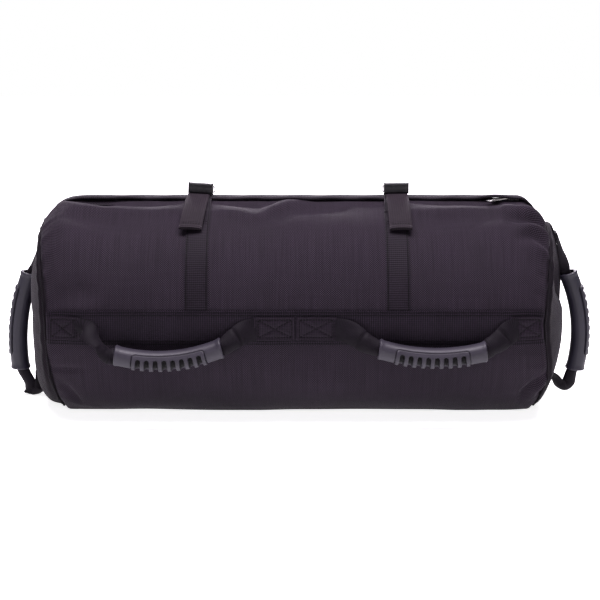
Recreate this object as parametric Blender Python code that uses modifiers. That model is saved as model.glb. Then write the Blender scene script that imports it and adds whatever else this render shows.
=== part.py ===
"""Sandbag trainer: a cylindrical nylon bag with end panels, a zip under a flap, two compression
straps with ladder-lock buckles, webbing bands, six handles with rubber grips, and three sand-filled
inner bags. Metres, +Z up, the long side along X, the front towards -Y, resting on z = 0."""

import math

import bmesh
import bpy
from mathutils import Matrix, Vector

# ---------------------------------------------------------------- driving dimensions
SEAM_LEFT = -0.2755      # x of the left end seam
SEAM_RIGHT = 0.2675      # x of the right end seam
HALF_WIDTH = 0.125       # half the bag's depth, front to back
MID_Z = 0.112            # height of the widest line
TOP_RISE = 0.119         # from the widest line to the top of the wrap
SAG_DROP = 0.1215        # the same downwards, before the floor flattens it
SAG_POWER = 2.4          # squareness of the sagging lower half
TOP_DROP = 0.023         # how far the top falls to the end seam
BASE_LIFT = 0.010        # how far the underside rises to the end seam
SIDE_PULL = 0.008        # how far each side pulls in at the end seam
TOP_RAMP = 0.024
BASE_RAMP = 0.032
SIDE_RAMP = 0.045
CLOTH = 0.0020           # wrap fabric with its lining
PANEL_CLOTH = 0.0016
SLOT_HALF = 0.008        # half the zip slot in the wrap
PIPE_R = 0.0025
PANEL_SET = 0.0045       # from the seam line to the end panel's rim
DOME_LEFT = 0.0213
DOME_RIGHT = 0.0255
PANEL_CENTRE_Z = 0.110
GAP = 0.0004             # clearance between pieces that touch
WEBBING_WIDE = 0.038     # band
WEBBING = 0.025          # straps, handle tabs
WEBBING_THICK = 0.0015
BAND_Z = 0.110
STRAP_X = {"left": -0.111, "right": 0.105}
STRAP_END_Y = -0.046     # where the sewn strap leaves the wrap
FLAP_REAR, FLAP_FRONT = 0.025, -0.0205
FLAP_LEFT, FLAP_RIGHT = -0.2545, 0.2505
FLAP_THICK = 0.0016
FLAP_TOP = 0.2365
ZIP_LEFT, ZIP_RIGHT = SEAM_LEFT + 0.019, SEAM_RIGHT - 0.019
CHAIN_HALF = 0.00325
SLIDER_X = 0.240
PULL_LENGTH = 0.0442
PULL_YAW = 224.5         # degrees from +X
BUCKLE_REAR_Y, BUCKLE_BAR_Y = 0.010, 0.001
BUCKLE_BAR_Z = FLAP_TOP + 0.0045
BUCKLE_HALF = 0.0141
LIP_FOOT = (-0.0068, FLAP_TOP + 0.0060)
LIP_TOP = (-0.0112, FLAP_TOP + 0.0122)
TAIL_ROOT = (-0.0092, FLAP_TOP + 0.0036)
HANDLE_AXIS_Y = -0.1335  # swing axis of the front handles, just off the tabs
GRIP_IN_PLANE, GRIP_DEPTH = 0.0098, 0.0115
RIB = 0.0018             # ribs on the outer side of each grip
CORE_IN_PLANE, CORE_DEPTH = 0.0034, 0.0075
FILL_LEFT, FILL_RIGHT = -0.246, 0.238

BLACK_NYLON = (0.035, 0.028, 0.038)
BLACK_WEBBING = (0.022, 0.018, 0.024)
BLACK_RUBBER = (0.045, 0.040, 0.048)

COLLECTION = "sandbag_trainer"


# ---------------------------------------------------------------- scene and materials
def clear():
    for obj in list(bpy.data.objects):
        bpy.data.objects.remove(obj, do_unlink=True)
    for name in (COLLECTION, "cutters"):
        if name not in bpy.data.collections:
            made = bpy.data.collections.new(name)
            bpy.context.scene.collection.children.link(made)


def material(name, colour, rough, metal=0.0, sheen=0.0):
    made = bpy.data.materials.new(name)
    made.use_nodes = True
    shader = made.node_tree.nodes["Principled BSDF"]
    shader.inputs["Base Color"].default_value = (*colour, 1)
    shader.inputs["Roughness"].default_value = rough
    shader.inputs["Metallic"].default_value = metal
    shader.inputs["Sheen Weight"].default_value = sheen
    return made


FINISH = {
    "nylon": (BLACK_NYLON, 0.80, 0.0, 0.3),
    "webbing": (BLACK_WEBBING, 0.70, 0.0, 0.3),
    "rubber": (BLACK_RUBBER, 0.42, 0.0, 0.0),
    "black_metal": ((0.030, 0.030, 0.032), 0.38, 0.9, 0.0),
    "nickel": ((0.62, 0.60, 0.57), 0.28, 1.0, 0.0),
    "zip_coil": ((0.018, 0.017, 0.019), 0.45, 0.0, 0.0),
    "sleeve": ((0.05, 0.055, 0.07), 0.75, 0.0, 0.2),
    "sand": ((0.50, 0.41, 0.28), 0.95, 0.0, 0.0),
    "hook_and_loop": ((0.03, 0.03, 0.03), 0.95, 0.0, 0.4),
}


def dressed(obj, finish):
    """Gives the object a material of its own."""
    obj.data.materials.clear()
    colour, rough, metal, sheen = FINISH[finish]
    obj.data.materials.append(material(obj.name, colour, rough, metal, sheen))
    return obj


def placed(name, mesh, finish, smooth=True):
    obj = bpy.data.objects.new(name, mesh)
    bpy.data.collections[COLLECTION].objects.link(obj)
    if smooth:
        mesh.shade_smooth()
        mesh.set_sharp_from_angle(angle=math.radians(35))
    return dressed(obj, finish)


def turned_out(bm, away):
    """Turns the faces of an open sheet to face the way that away(centre) points."""
    bm.normal_update()
    score = sum(
        face.normal.dot(away(face.calc_center_median())) * face.calc_area()
        for face in bm.faces
    )
    if score < 0:
        bmesh.ops.reverse_faces(bm, faces=bm.faces[:])
        bm.normal_update()


def finished(bm, name):
    mesh = bpy.data.meshes.new(name)
    bm.to_mesh(mesh)
    bm.free()
    return mesh


def sheet(name, rows, finish, thick, away, side=-1.0, closed=False, centre=None):
    """A cloth piece: a sheet of rows of points, thickened. side -1 thickens away from its face."""
    bm = bmesh.new()
    verts = [[bm.verts.new(p) for p in row] for row in rows]
    for low, high in zip(verts, verts[1:]):
        count = len(low) if closed else len(low) - 1
        for i in range(count):
            j = (i + 1) % len(low)
            bm.faces.new((low[i], low[j], high[j], high[i]))
    if centre is not None:
        tip = bm.verts.new(centre)
        last = verts[-1]
        for i in range(len(last)):
            bm.faces.new((last[i], last[(i + 1) % len(last)], tip))
    turned_out(bm, away)
    obj = placed(name, finished(bm, name), finish)
    solid = obj.modifiers.new("cloth thickness", "SOLIDIFY")
    solid.thickness = thick
    solid.offset = side
    solid.use_even_offset = True
    return obj


def loft(name, rings, finish, holes=None):
    """A closed loft through rings of equal count, capped, or open at a bore of inner rings."""
    bm = bmesh.new()

    def skin(some, flip):
        verts = [[bm.verts.new(p) for p in ring] for ring in some]
        for low, high in zip(verts, verts[1:]):
            for i in range(len(low)):
                j = (i + 1) % len(low)
                quad = (low[i], low[j], high[j], high[i])
                bm.faces.new(quad[::-1] if flip else quad)
        return verts

    outer = skin(rings, False)
    if holes is None:
        bm.faces.new(outer[0][::-1])
        bm.faces.new(outer[-1])
    else:
        inner = skin(holes, True)
        for a, b, flip in ((outer[0], inner[0], True), (outer[-1], inner[-1], False)):
            for i in range(len(a)):
                j = (i + 1) % len(a)
                quad = (a[i], a[j], b[j], b[i])
                bm.faces.new(quad[::-1] if flip else quad)
    bmesh.ops.recalc_face_normals(bm, faces=bm.faces[:])
    return placed(name, finished(bm, name), finish)


# ---------------------------------------------------------------- the bag's surface
def ramp(u):
    u = min(max(u, 0.0), 1.0)
    return 0.5 * u * u * (3 - 2 * u) + 0.5 * u**1.5


def drawn_in(x, y, z):
    """A point of the straight section, drawn in towards the nearer end seam."""
    d = max(min(x - SEAM_LEFT, SEAM_RIGHT - x), 0.0)
    y *= 1 - SIDE_PULL * ramp(1 - d / SIDE_RAMP) / HALF_WIDTH
    if z > MID_Z:
        z = MID_Z + (z - MID_Z) * (1 - TOP_DROP * ramp(1 - d / TOP_RAMP) / TOP_RISE)
    else:
        z = MID_Z - (MID_Z - z) * (1 - BASE_LIFT * ramp(1 - d / BASE_RAMP) / MID_Z)
    return y, z


def section(phi):
    """The straight section's (y, z) on the back half, phi in degrees from the top."""
    if phi <= 90:
        a = math.radians(phi)
        return HALF_WIDTH * math.sin(a), MID_Z + TOP_RISE * math.cos(a)
    t = math.radians(phi - 90)
    y = HALF_WIDTH * max(math.cos(t), 0.0) ** (2 / SAG_POWER)
    return y, max(MID_Z - SAG_DROP * math.sin(t) ** (2 / SAG_POWER), 0.0)


def skin(x, phi, side, out=0.0):
    """A point of the fabric surface, out metres off it. side -1 is the front, +1 the back."""
    y, z = drawn_in(x, *section(phi))
    if out:
        ya, za = drawn_in(x, *section(max(phi - 0.5, 0)))
        yb, zb = drawn_in(x, *section(phi + 0.5))
        step = Vector((yb - ya, zb - za))
        step.normalize()
        y, z = y - step.y * out, z + step.x * out
    return Vector((x, side * y, z))


def phi_at_y(y):
    return math.degrees(math.asin(min(abs(y) / HALF_WIDTH, 1.0)))


def phi_at_z(z):
    if z >= MID_Z:
        return math.degrees(math.acos((z - MID_Z) / TOP_RISE))
    share = ((MID_Z - z) / SAG_DROP) ** (SAG_POWER / 2)
    return 90 + math.degrees(math.asin(share))


FLAT_PHI = phi_at_z(0.0)
RING = [phi_at_y(SLOT_HALF), 9.5, 16, 24, 33, 42, 51, 60, 70, 80, 90, 102, 113, 124, 135, 146, FLAT_PHI]
END_STEPS = [0.003, 0.006, 0.010, 0.014, 0.019, 0.024, 0.033, 0.045]
STATIONS = [SEAM_LEFT + d for d in END_STEPS] + [SEAM_RIGHT - d for d in END_STEPS[::-1]]


def around(x):
    """The outline at x from the slot's front edge, down the front, under and up the back."""
    return [skin(x, phi, -1) for phi in RING] + [skin(x, phi, 1) for phi in RING[::-1]]


def out_of_bag(centre):
    return Vector((0, centre.y, centre.z - MID_Z))


def make_body():
    sheet("body_wrap", [around(x) for x in STATIONS], "nylon", CLOTH, out_of_bag)
    for side, seam, way, dome in (
        ("left", SEAM_LEFT, -1, DOME_LEFT),
        ("right", SEAM_RIGHT, 1, DOME_RIGHT),
    ):
        rim = around(seam)
        rings = []
        for k, share in DOME_STEPS:
            rings.append([dome_point(seam, way, dome, p, k, share) for p in rim])
        tip = Vector((seam + way * (PANEL_SET + dome), 0, PANEL_CENTRE_Z))
        sheet(
            f"{side}_end_panel", rings, "nylon", PANEL_CLOTH,
            lambda centre, way=way: Vector((way, 0, 0)), closed=True, centre=tip,
        )
        curve = bpy.data.curves.new(f"{side}_end_piping", "CURVE")
        curve.dimensions = "3D"
        spline = curve.splines.new("POLY")
        ring = [Vector((p.x, p.y * (1 - 0.001 / 0.117), p.z + (0.001 if p.z < MID_Z else -0.001))) for p in rim]
        spline.points.add(len(ring) - 1)
        for point, at in zip(spline.points, ring):
            point.co = (*at, 1)
        spline.use_cyclic_u = True
        curve.bevel_depth = PIPE_R
        curve.bevel_resolution = 1
        obj = bpy.data.objects.new(f"{side}_end_piping", curve)
        bpy.data.collections[COLLECTION].objects.link(obj)
        dressed(obj, "nylon")


# rim to centre: share of the rim's radius, and share of the dome's depth
DOME_STEPS = [(1.0, 0.0), (0.965, 0.11), (0.92, 0.31), (0.86, 0.51), (0.77, 0.69), (0.65, 0.815), (0.50, 0.91), (0.30, 0.97)]


def dome_point(seam, way, dome, rim, k, share):
    return Vector((
        seam + way * (PANEL_SET + dome * share),
        rim.y * k,
        PANEL_CENTRE_Z + (rim.z - PANEL_CENTRE_Z) * k,
    ))


def dome_x(seam, way, dome, y, z, out=0.0):
    """x of an end panel's surface over (y, z) near its middle line."""
    reach = (skin(seam, 0, 1).z if z > PANEL_CENTRE_Z else skin(seam, FLAT_PHI, 1).z) - PANEL_CENTRE_Z
    k = math.hypot((z - PANEL_CENTRE_Z) / reach, y / 0.117)
    steps = DOME_STEPS + [(0.0, 1.0)]
    for (ka, sa), (kb, sb) in zip(steps, steps[1:]):
        if kb <= k <= ka:
            share = sa + (sb - sa) * (ka - k) / (ka - kb)
            break
    else:
        share = 0.0
    return seam + way * (PANEL_SET + dome * share + out)


# ---------------------------------------------------------------- zip and flap
def make_zip():
    stops = [x for x in STATIONS if ZIP_LEFT < x < ZIP_RIGHT]
    runs = sorted([ZIP_LEFT, ZIP_RIGHT, *stops])
    for name, side in (("zip_tape_front", -1), ("zip_tape_back", 1)):
        rows = []
        for x in runs:
            # where the wrap slopes down to the seam, its underside lies further below its face
            fall = (skin(x + 0.001, 0, 1).z - skin(x - 0.001, 0, 1).z) / 0.002
            under = (CLOTH + GAP) * math.hypot(1, fall) + min(abs(fall), 0.3) * 0.002
            rows.append([skin(x, phi_at_y(y), side, -under) for y in (0.0037, 0.008, 0.0130, 0.0190)])
        sheet(name, rows, "nylon", 0.0008, lambda c: Vector((0, 0, 1)))
    bm_rings = []
    for x in runs:
        low = skin(x, 0, 1).z - 0.0035
        bm_rings.append([
            Vector((x, -CHAIN_HALF, low)), Vector((x, CHAIN_HALF, low)),
            Vector((x, CHAIN_HALF, low + 0.0012)), Vector((x, 0.0018, low + 0.0022)),
            Vector((x, -0.0018, low + 0.0022)), Vector((x, -CHAIN_HALF, low + 0.0012)),
        ])
    loft("zip_chain", bm_rings, "zip_coil")
    for name, x in (("zip_stop_left", ZIP_LEFT - 0.0016), ("zip_stop_right", ZIP_RIGHT + 0.0016)):
        obj = box(name, (x, 0, skin(x, 0, 1).z - 0.0024), (0.0022, 0.0070, 0.0026), "nickel", 0.0005)


def box(name, centre, size, finish, bevel=0.0, turn=None):
    bm = bmesh.new()
    bmesh.ops.create_cube(bm, size=1.0)
    bmesh.ops.scale(bm, verts=bm.verts[:], vec=size)
    if turn is not None:
        bmesh.ops.transform(bm, matrix=turn, verts=bm.verts[:])
    obj = placed(name, finished(bm, name), finish)
    obj.location = centre
    if bevel:
        edge = obj.modifiers.new("soft edges", "BEVEL")
        edge.width = bevel
        edge.segments = 1
        edge.limit_method = "ANGLE"
    return obj


def rod(name, start, end, radius, finish, sides=12):
    bm = bmesh.new()
    bmesh.ops.create_cone(
        bm, cap_ends=True, segments=sides, radius1=radius, radius2=radius,
        depth=(Vector(end) - Vector(start)).length,
    )
    turn = (Vector(end) - Vector(start)).to_track_quat("Z", "Y").to_matrix().to_4x4()
    bmesh.ops.transform(bm, matrix=turn, verts=bm.verts[:])
    obj = placed(name, finished(bm, name), finish)
    obj.location = (Vector(start) + Vector(end)) / 2
    return obj


def joined(whole, parts, operation="UNION"):
    """Adds the parts to the whole, or cuts them from it, and keeps one mesh."""
    for part in parts:
        step = whole.modifiers.new(part.name, "BOOLEAN")
        step.operation = operation
        step.solver = "EXACT"
        step.object = part
    bpy.context.view_layer.update()
    graph = bpy.context.evaluated_depsgraph_get()
    mesh = bpy.data.meshes.new_from_object(whole.evaluated_get(graph))
    whole.modifiers.clear()
    whole.data = mesh
    bm = bmesh.new()
    bm.from_mesh(mesh)
    bmesh.ops.remove_doubles(bm, verts=bm.verts[:], dist=0.00001)
    bm.to_mesh(mesh)
    bm.free()
    for part in parts:
        bpy.data.objects.remove(part, do_unlink=True)
    return whole


def outline_plate(name, points, x, thick, finish):
    """A flat plate with a (y, z) outline, standing across X at x."""
    curve = bpy.data.curves.new(name, "CURVE")
    curve.dimensions = "2D"
    curve.fill_mode = "BOTH"
    curve.extrude = thick / 2
    spline = curve.splines.new("POLY")
    spline.points.add(len(points) - 1)
    for point, (y, z) in zip(spline.points, points):
        point.co = (y, z, 0, 1)
    spline.use_cyclic_u = True
    obj = bpy.data.objects.new(name, curve)
    bpy.data.collections[COLLECTION].objects.link(obj)
    obj.matrix_world = Matrix(((0, 0, 1, x), (1, 0, 0, 0), (0, 1, 0, 0), (0, 0, 0, 1)))
    bpy.context.view_layer.update()
    graph = bpy.context.evaluated_depsgraph_get()
    mesh = bpy.data.meshes.new_from_object(obj.evaluated_get(graph))
    mesh.transform(obj.matrix_world)
    bpy.data.objects.remove(obj, do_unlink=True)
    bm = bmesh.new()
    bm.from_mesh(mesh)
    bmesh.ops.remove_doubles(bm, verts=bm.verts[:], dist=0.00001)
    bmesh.ops.recalc_face_normals(bm, faces=bm.faces[:])
    bm.to_mesh(mesh)
    bm.free()
    return placed(name, mesh, finish)


def empty(name, at):
    obj = bpy.data.objects.new(name, None)
    obj.empty_display_size = 0.02
    obj.location = at
    bpy.data.collections[COLLECTION].objects.link(obj)
    return obj


def hung_on(parent, *children):
    """Parents the pieces to an empty on their joint's axis, leaving them where they are."""
    bpy.context.view_layer.update()
    for child in children:
        child.parent = parent
        child.matrix_parent_inverse = parent.matrix_world.inverted()


# the flap's underside across Y, from its sewn rear edge to its free front edge
FLAP_LINE = [
    (FLAP_REAR, None), (0.0185, FLAP_TOP - 0.0046), (0.0125, FLAP_TOP - 0.0024),
    (0.005, FLAP_TOP - FLAP_THICK), (-0.006, FLAP_TOP - FLAP_THICK),
    (-0.014, FLAP_TOP - 0.0021), (FLAP_FRONT, FLAP_TOP - 0.0030),
]


def make_flap():
    rows = []
    for x in (FLAP_LEFT, -0.18, -0.09, 0.0, 0.09, 0.18, FLAP_RIGHT):
        row = []
        for y, z in FLAP_LINE:
            if z is None:
                z = skin(0.0, phi_at_y(y), 1).z + GAP
            row.append(Vector((x, y, z)))
        rows.append(row)
    flap = sheet("zip_flap", rows, "nylon", FLAP_THICK, lambda c: Vector((0, 0, 1)), side=1.0)
    hinge = empty("zip_flap_axis", (0, FLAP_REAR, skin(0.0, phi_at_y(FLAP_REAR), 1).z + GAP))
    hung_on(hinge, flap)
    return hinge


def make_slider():
    base = skin(0.0, 0, 1).z
    body = box("zip_slider", (SLIDER_X, 0, base + 0.0001), (0.0140, 0.0100, 0.0018), "nickel", 0.0004)
    walls = [
        box("slider_wall", (SLIDER_X, y, base - 0.0011), (0.0120, 0.0010, 0.0018), "nickel")
        for y in (-0.0044, 0.0044)
    ]
    post = rod("slider_post", (SLIDER_X, 0, base + 0.0003), (SLIDER_X, 0, base + 0.0030), 0.0012, "nickel")
    head = rod("slider_head", (SLIDER_X, 0, base + 0.0026), (SLIDER_X, 0, base + 0.0034), 0.0020, "nickel")
    slider = joined(body, [*walls, post, head])
    # the pull tab: a flat plate with an eye on the slider's post, its tip lying just lower
    z = base + 0.0018
    slope = math.asin(0.0012 / PULL_LENGTH)
    outline = []
    for along, half in ((-0.0030, 0.0016), (-0.0022, 0.0027), (-0.0004, 0.0034), (0.0035, 0.0034), (0.0100, 0.0030),
                        (0.0240, 0.0036), (0.0360, 0.0042), (0.0410, 0.0038), (PULL_LENGTH, 0.0018)):
        outline.append((along, half))
    points = [(a, h) for a, h in outline] + [(a, -h) for a, h in outline[::-1]]
    curve = bpy.data.curves.new("zip_pull", "CURVE")
    curve.dimensions = "2D"
    curve.fill_mode = "BOTH"
    curve.extrude = 0.0005
    for ring, loop in enumerate((
        points,
        [(0.0017 * math.cos(a * math.pi / 6), 0.0017 * math.sin(a * math.pi / 6)) for a in range(12)],
        [(0.0375 + 0.0014 * math.cos(a * math.pi / 6), 0.0014 * math.sin(a * math.pi / 6)) for a in range(12)],
    )):
        spline = curve.splines.new("POLY")
        spline.points.add(len(loop) - 1)
        for point, (u, v) in zip(spline.points, loop):
            point.co = (u, v, 0, 1)
        spline.use_cyclic_u = True
    obj = bpy.data.objects.new("zip_pull", curve)
    bpy.data.collections[COLLECTION].objects.link(obj)
    bpy.context.view_layer.update()
    mesh = bpy.data.meshes.new_from_object(obj.evaluated_get(bpy.context.evaluated_depsgraph_get()))
    bpy.data.objects.remove(obj, do_unlink=True)
    bm = bmesh.new()
    bm.from_mesh(mesh)
    bmesh.ops.remove_doubles(bm, verts=bm.verts[:], dist=0.00001)
    bmesh.ops.recalc_face_normals(bm, faces=bm.faces[:])
    bm.to_mesh(mesh)
    bm.free()
    pull = placed("zip_pull", mesh, "nickel")
    pull.location = (SLIDER_X, 0, z)
    pull.rotation_euler = (
        Matrix.Rotation(math.radians(PULL_YAW), 4, "Z") @ Matrix.Rotation(slope, 4, "Y")
    ).to_euler()
    return slider, pull


# ---------------------------------------------------------------- webbing
def band_stations(left, right):
    inner = [x for x in STATIONS if left + 0.001 < x < right - 0.001]
    middle = [x for x in (-0.15, -0.05, 0.05, 0.15) if left < x < right]
    return sorted([left, right, *inner, *middle])


def make_bands():
    height = [BAND_Z - WEBBING_WIDE / 2 + i * WEBBING_WIDE / 4 for i in range(5)]
    for name, side in (("front_band", -1), ("back_band", 1)):
        rows = [
            [skin(x, phi_at_z(z), side, GAP) for z in height]
            for x in band_stations(SEAM_LEFT + 0.003, SEAM_RIGHT - 0.003)
        ]
        sheet(name, rows, "webbing", WEBBING_THICK, lambda c, s=side: Vector((0, s, 0)), side=1.0)


def make_sewn_straps():
    low = phi_at_z(BAND_Z + WEBBING_WIDE / 2 + 0.0008)
    for name, side, end_y in (("front", -1, STRAP_END_Y), ("rear", 1, 0.0290)):
        high = phi_at_y(end_y)
        steps = max(2, round((low - high) / 4.4))
        phis = [low + (high - low) * i / steps for i in range(steps + 1)]
        for hand, x in STRAP_X.items():
            rows = [[skin(x + off, phi, side, GAP) for off in (-WEBBING / 2, WEBBING / 2)] for phi in phis]
            sheet(f"{hand}_{name}_strap", rows, "webbing", WEBBING_THICK, out_of_bag, side=1.0)


def across(x, line):
    return [[Vector((x + off, y, z)) for off in (-WEBBING / 2, WEBBING / 2)] for y, z in line]


def make_strap_tops():
    """What lies over the flap at each strap: the bridge from the front, the buckle, its anchor
    loop from the rear, and the free tail."""
    made = {}
    start = skin(0.0, phi_at_y(STRAP_END_Y), -1, GAP)
    bridge_line = [
        (start.y + 0.0008, start.z + 0.0008), (-0.0400, 0.2286), (-0.0330, 0.2322), (-0.0270, 0.2345),
        (-0.0210, FLAP_TOP - 0.0006), (-0.0135, FLAP_TOP + 0.0006), (-0.0060, FLAP_TOP + GAP),
        (0.0045, FLAP_TOP + GAP),
    ]
    ply = 0.0013
    loop_r = 0.0015 + 0.00035
    loop_line = [(0.0243, BUCKLE_BAR_Z - loop_r), (0.0170, BUCKLE_BAR_Z - loop_r)]
    for i in range(7):
        a = math.radians(-90 - i * 30)
        loop_line.append((BUCKLE_REAR_Y + loop_r * math.cos(a), BUCKLE_BAR_Z + loop_r * math.sin(a)))
    loop_line += [(0.0165, BUCKLE_BAR_Z + loop_r - 0.0004), (0.0215, BUCKLE_BAR_Z + 0.0006)]
    tail_line = [
        TAIL_ROOT, (-0.0160, 0.2400), (-0.0240, 0.2388), (-0.0320, 0.2365), (-0.0400, 0.2332),
        (-0.0480, 0.2294), (-0.0560, 0.2255), (-0.0640, 0.2206), (-0.0720, 0.2152), (-0.0800, 0.2096),
    ]
    for hand, x in STRAP_X.items():
        up = lambda c: Vector((0, 0, 1))
        bridge = sheet(f"{hand}_strap_bridge", across(x, bridge_line), "webbing", WEBBING_THICK - 0.0001, up, side=1.0)
        anchor = sheet(
            f"{hand}_buckle_anchor", across(x, loop_line), "webbing", ply,
            lambda c: Vector((0, c.y - BUCKLE_REAR_Y, c.z - BUCKLE_BAR_Z)), side=1.0,
        )
        tail = sheet(f"{hand}_strap_tail", across(x, tail_line), "webbing", WEBBING_THICK, up, side=1.0)
        buckle = make_buckle(f"{hand}_buckle", x)
        tilt = empty(f"{hand}_buckle_axis", (x, BUCKLE_REAR_Y, BUCKLE_BAR_Z))
        hung_on(tilt, buckle)
        swing = empty(f"{hand}_tail_axis", (x, *TAIL_ROOT))
        hung_on(swing, tail)
        hung_on(tilt, swing)
        made[hand] = (bridge, anchor, tilt)
    return made


def make_buckle(name, x):
    side_outline = [
        (BUCKLE_REAR_Y + 0.0030, BUCKLE_BAR_Z - 0.0022), (BUCKLE_REAR_Y + 0.0034, BUCKLE_BAR_Z + 0.0012),
        (BUCKLE_REAR_Y + 0.0012, BUCKLE_BAR_Z + 0.0028), (-0.0010, BUCKLE_BAR_Z + 0.0030),
        (LIP_TOP[0] + 0.0030, LIP_TOP[1] + 0.0006), (LIP_TOP[0] - 0.0002, LIP_TOP[1] + 0.0012),
        (LIP_TOP[0] - 0.0016, LIP_TOP[1] - 0.0006), (LIP_FOOT[0] - 0.0020, LIP_FOOT[1] - 0.0010),
        (LIP_FOOT[0] + 0.0006, BUCKLE_BAR_Z - 0.0026),
    ]
    cheeks = [
        outline_plate(f"{name}_cheek", side_outline, x + s * (BUCKLE_HALF - 0.00055), 0.0011, "black_metal")
        for s in (-1, 1)
    ]
    reach = BUCKLE_HALF - 0.0003
    bars = [
        rod(f"{name}_bar", (x - reach, y, BUCKLE_BAR_Z), (x + reach, y, BUCKLE_BAR_Z), 0.0015, "black_metal", 10)
        for y in (BUCKLE_REAR_Y, BUCKLE_BAR_Y)
    ]
    foot, top = Vector(LIP_FOOT), Vector(LIP_TOP)
    middle = (foot + top) / 2
    lean = math.atan2(top.x - foot.x, top.y - foot.y)
    lip = box(
        f"{name}_lip", (x, middle.x, middle.y), (2 * reach, 0.0012, (top - foot).length + 0.0006),
        "black_metal", 0.0, Matrix.Rotation(-lean, 4, "X"),
    )
    edge = rod(f"{name}_edge", (x - reach, *LIP_TOP), (x + reach, *LIP_TOP), 0.00105, "black_metal", 10)
    whole = cheeks[0]
    whole.name = name
    return joined(whole, [cheeks[1], *bars, lip, edge])


# ---------------------------------------------------------------- handles
def ring_at(centre, along, depth_axis, in_plane, depth, power, extra=0.0, sides=12):
    """A rounded section across the path. extra swells it on its outer side."""
    across_axis = along.cross(depth_axis).normalized()
    ring = []
    for i in range(sides):
        a = 2 * math.pi * (i + 0.5) / sides
        c, s = math.cos(a), math.sin(a)
        u = math.copysign(abs(c) ** (2 / power), c) * in_plane
        if u > 0:
            u *= 1 + extra / in_plane
        v = math.copysign(abs(s) ** (2 / power), s) * depth
        ring.append(centre + across_axis * u + depth_axis * v)
    return ring


def arc_through(a, m, b, count):
    """Points from a to b on the circle through m, all in one plane."""
    to_m, to_b = m - a, b - a
    mm, bb, mb = to_m.length_squared, to_b.length_squared, to_m.dot(to_b)
    spread = 2 * (mm * bb - mb * mb)
    centre = a + to_m * (bb * (mm - mb) / spread) + to_b * (mm * (bb - mb) / spread)
    start, end = a - centre, b - centre
    turn = start.angle(end)
    axis = start.cross(end).normalized()
    return [centre + Matrix.Rotation(turn * i / (count - 1), 3, axis) @ start for i in range(count)]


def make_handle(name, lead, grip, trail, depth_axis, axis_at):
    """A webbing loop through a rubber grip. lead and trail are (point, in_plane, depth) strands,
    and the three grip points are its ends and middle."""
    count = 7
    arc = arc_through(*grip, count)
    path = [(p, i, d) for p, i, d in lead] + [(p, CORE_IN_PLANE, CORE_DEPTH) for p in arc] + [(p, i, d) for p, i, d in trail]
    points = [p for p, _, _ in path]
    ways = []
    for i in range(len(points)):
        before, after = points[max(i - 1, 0)], points[min(i + 1, len(points) - 1)]
        way = after - before
        ways.append((way - depth_axis * way.dot(depth_axis)).normalized())
    first = len(lead)
    # inside the grip both use the arc's own directions, so that their facets run side by side
    for i in range(count):
        before, after = arc[max(i - 1, 0)], arc[min(i + 1, count - 1)]
        ways[first + i] = (after - before).normalized()
    rings = [ring_at(p, way, depth_axis, i, d, 3.0) for (p, i, d), way in zip(path, ways)]
    loop = loft(f"{name}_webbing", rings, "webbing")
    outer, inner = [], []
    for i, p in enumerate(arc):
        way = ways[first + i]
        flare = 0.0007 if i in (0, count - 1) else 0.0
        rib = RIB if 0 < i < count - 1 else 0.0004
        outer.append(ring_at(p, way, depth_axis, GRIP_IN_PLANE + flare, GRIP_DEPTH + flare, 2.2, rib))
        inner.append(ring_at(p, way, depth_axis, CORE_IN_PLANE + GAP, CORE_DEPTH + GAP, 3.0))
    rubber = loft(f"{name}_grip", outer, "rubber", holes=inner)
    axis = empty(f"{name}_axis", axis_at)
    hung_on(axis, loop, rubber)
    return loop, rubber


FRONT_HANDLES = {
    # tabs' x, then the grip's ends and how far its middle hangs below them
    "left": ((-0.2710, -0.2350), (-0.0520, -0.0055), (-0.1960, 0.0822), (-0.0810, 0.0925), 0.0100),
    "right": ((-0.0040, 0.0395), (0.2210, 0.2640), (0.0820, 0.0898), (0.1970, 0.0898), 0.0105),
}
GRIP_Y = -0.1402


def make_tab(name, left, right, side):
    height = [BAND_Z - WEBBING / 2 + i * WEBBING / 4 for i in range(5)]
    rows = [
        [skin(x, phi_at_z(z), side, GAP + WEBBING_THICK + GAP) for z in height]
        for x in band_stations(left, right)
    ]
    return sheet(name, rows, "webbing", WEBBING_THICK, lambda c, s=side: Vector((0, s, 0)), side=1.0)


def make_side_handles():
    for face, side in (("front", -1), ("rear", 1)):
        for hand, (tab_a, tab_b, end_a, end_b, sag) in FRONT_HANDLES.items():
            name = f"{face}_{hand}_handle"
            make_tab(f"{name}_tab_a", *tab_a, side)
            make_tab(f"{name}_tab_b", *tab_b, side)
            flip = -side
            axis_y = HANDLE_AXIS_Y * flip
            grip_y = GRIP_Y * flip
            a, b = Vector((end_a[0], grip_y, end_a[1])), Vector((end_b[0], grip_y, end_b[1]))
            chord = (b - a).normalized()
            middle = (a + b) / 2 + Vector((chord.z, 0, -chord.x)) * sag
            near, far = Vector((tab_a[1] + 0.0005, axis_y, BAND_Z)), Vector((tab_b[0] - 0.0005, axis_y, BAND_Z))
            lead = [
                (near, 0.0040, 0.0025),
                (near.lerp(a, 0.35) + Vector((0, 0, 0.0012)), 0.0048, 0.0036),
                (near.lerp(a, 0.72) + Vector((0, 0, -0.0004)), 0.0042, 0.0056),
            ]
            trail = [
                (far.lerp(b, 0.72) + Vector((0, 0, -0.0004)), 0.0042, 0.0056),
                (far.lerp(b, 0.35) + Vector((0, 0, 0.0012)), 0.0048, 0.0036),
                (far, 0.0040, 0.0025),
            ]
            # the section's outer side points down, away from the bag's middle line
            make_handle(name, lead, (a, middle, b), trail, Vector((0, -1, 0)), (0, axis_y, BAND_Z))


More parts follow.
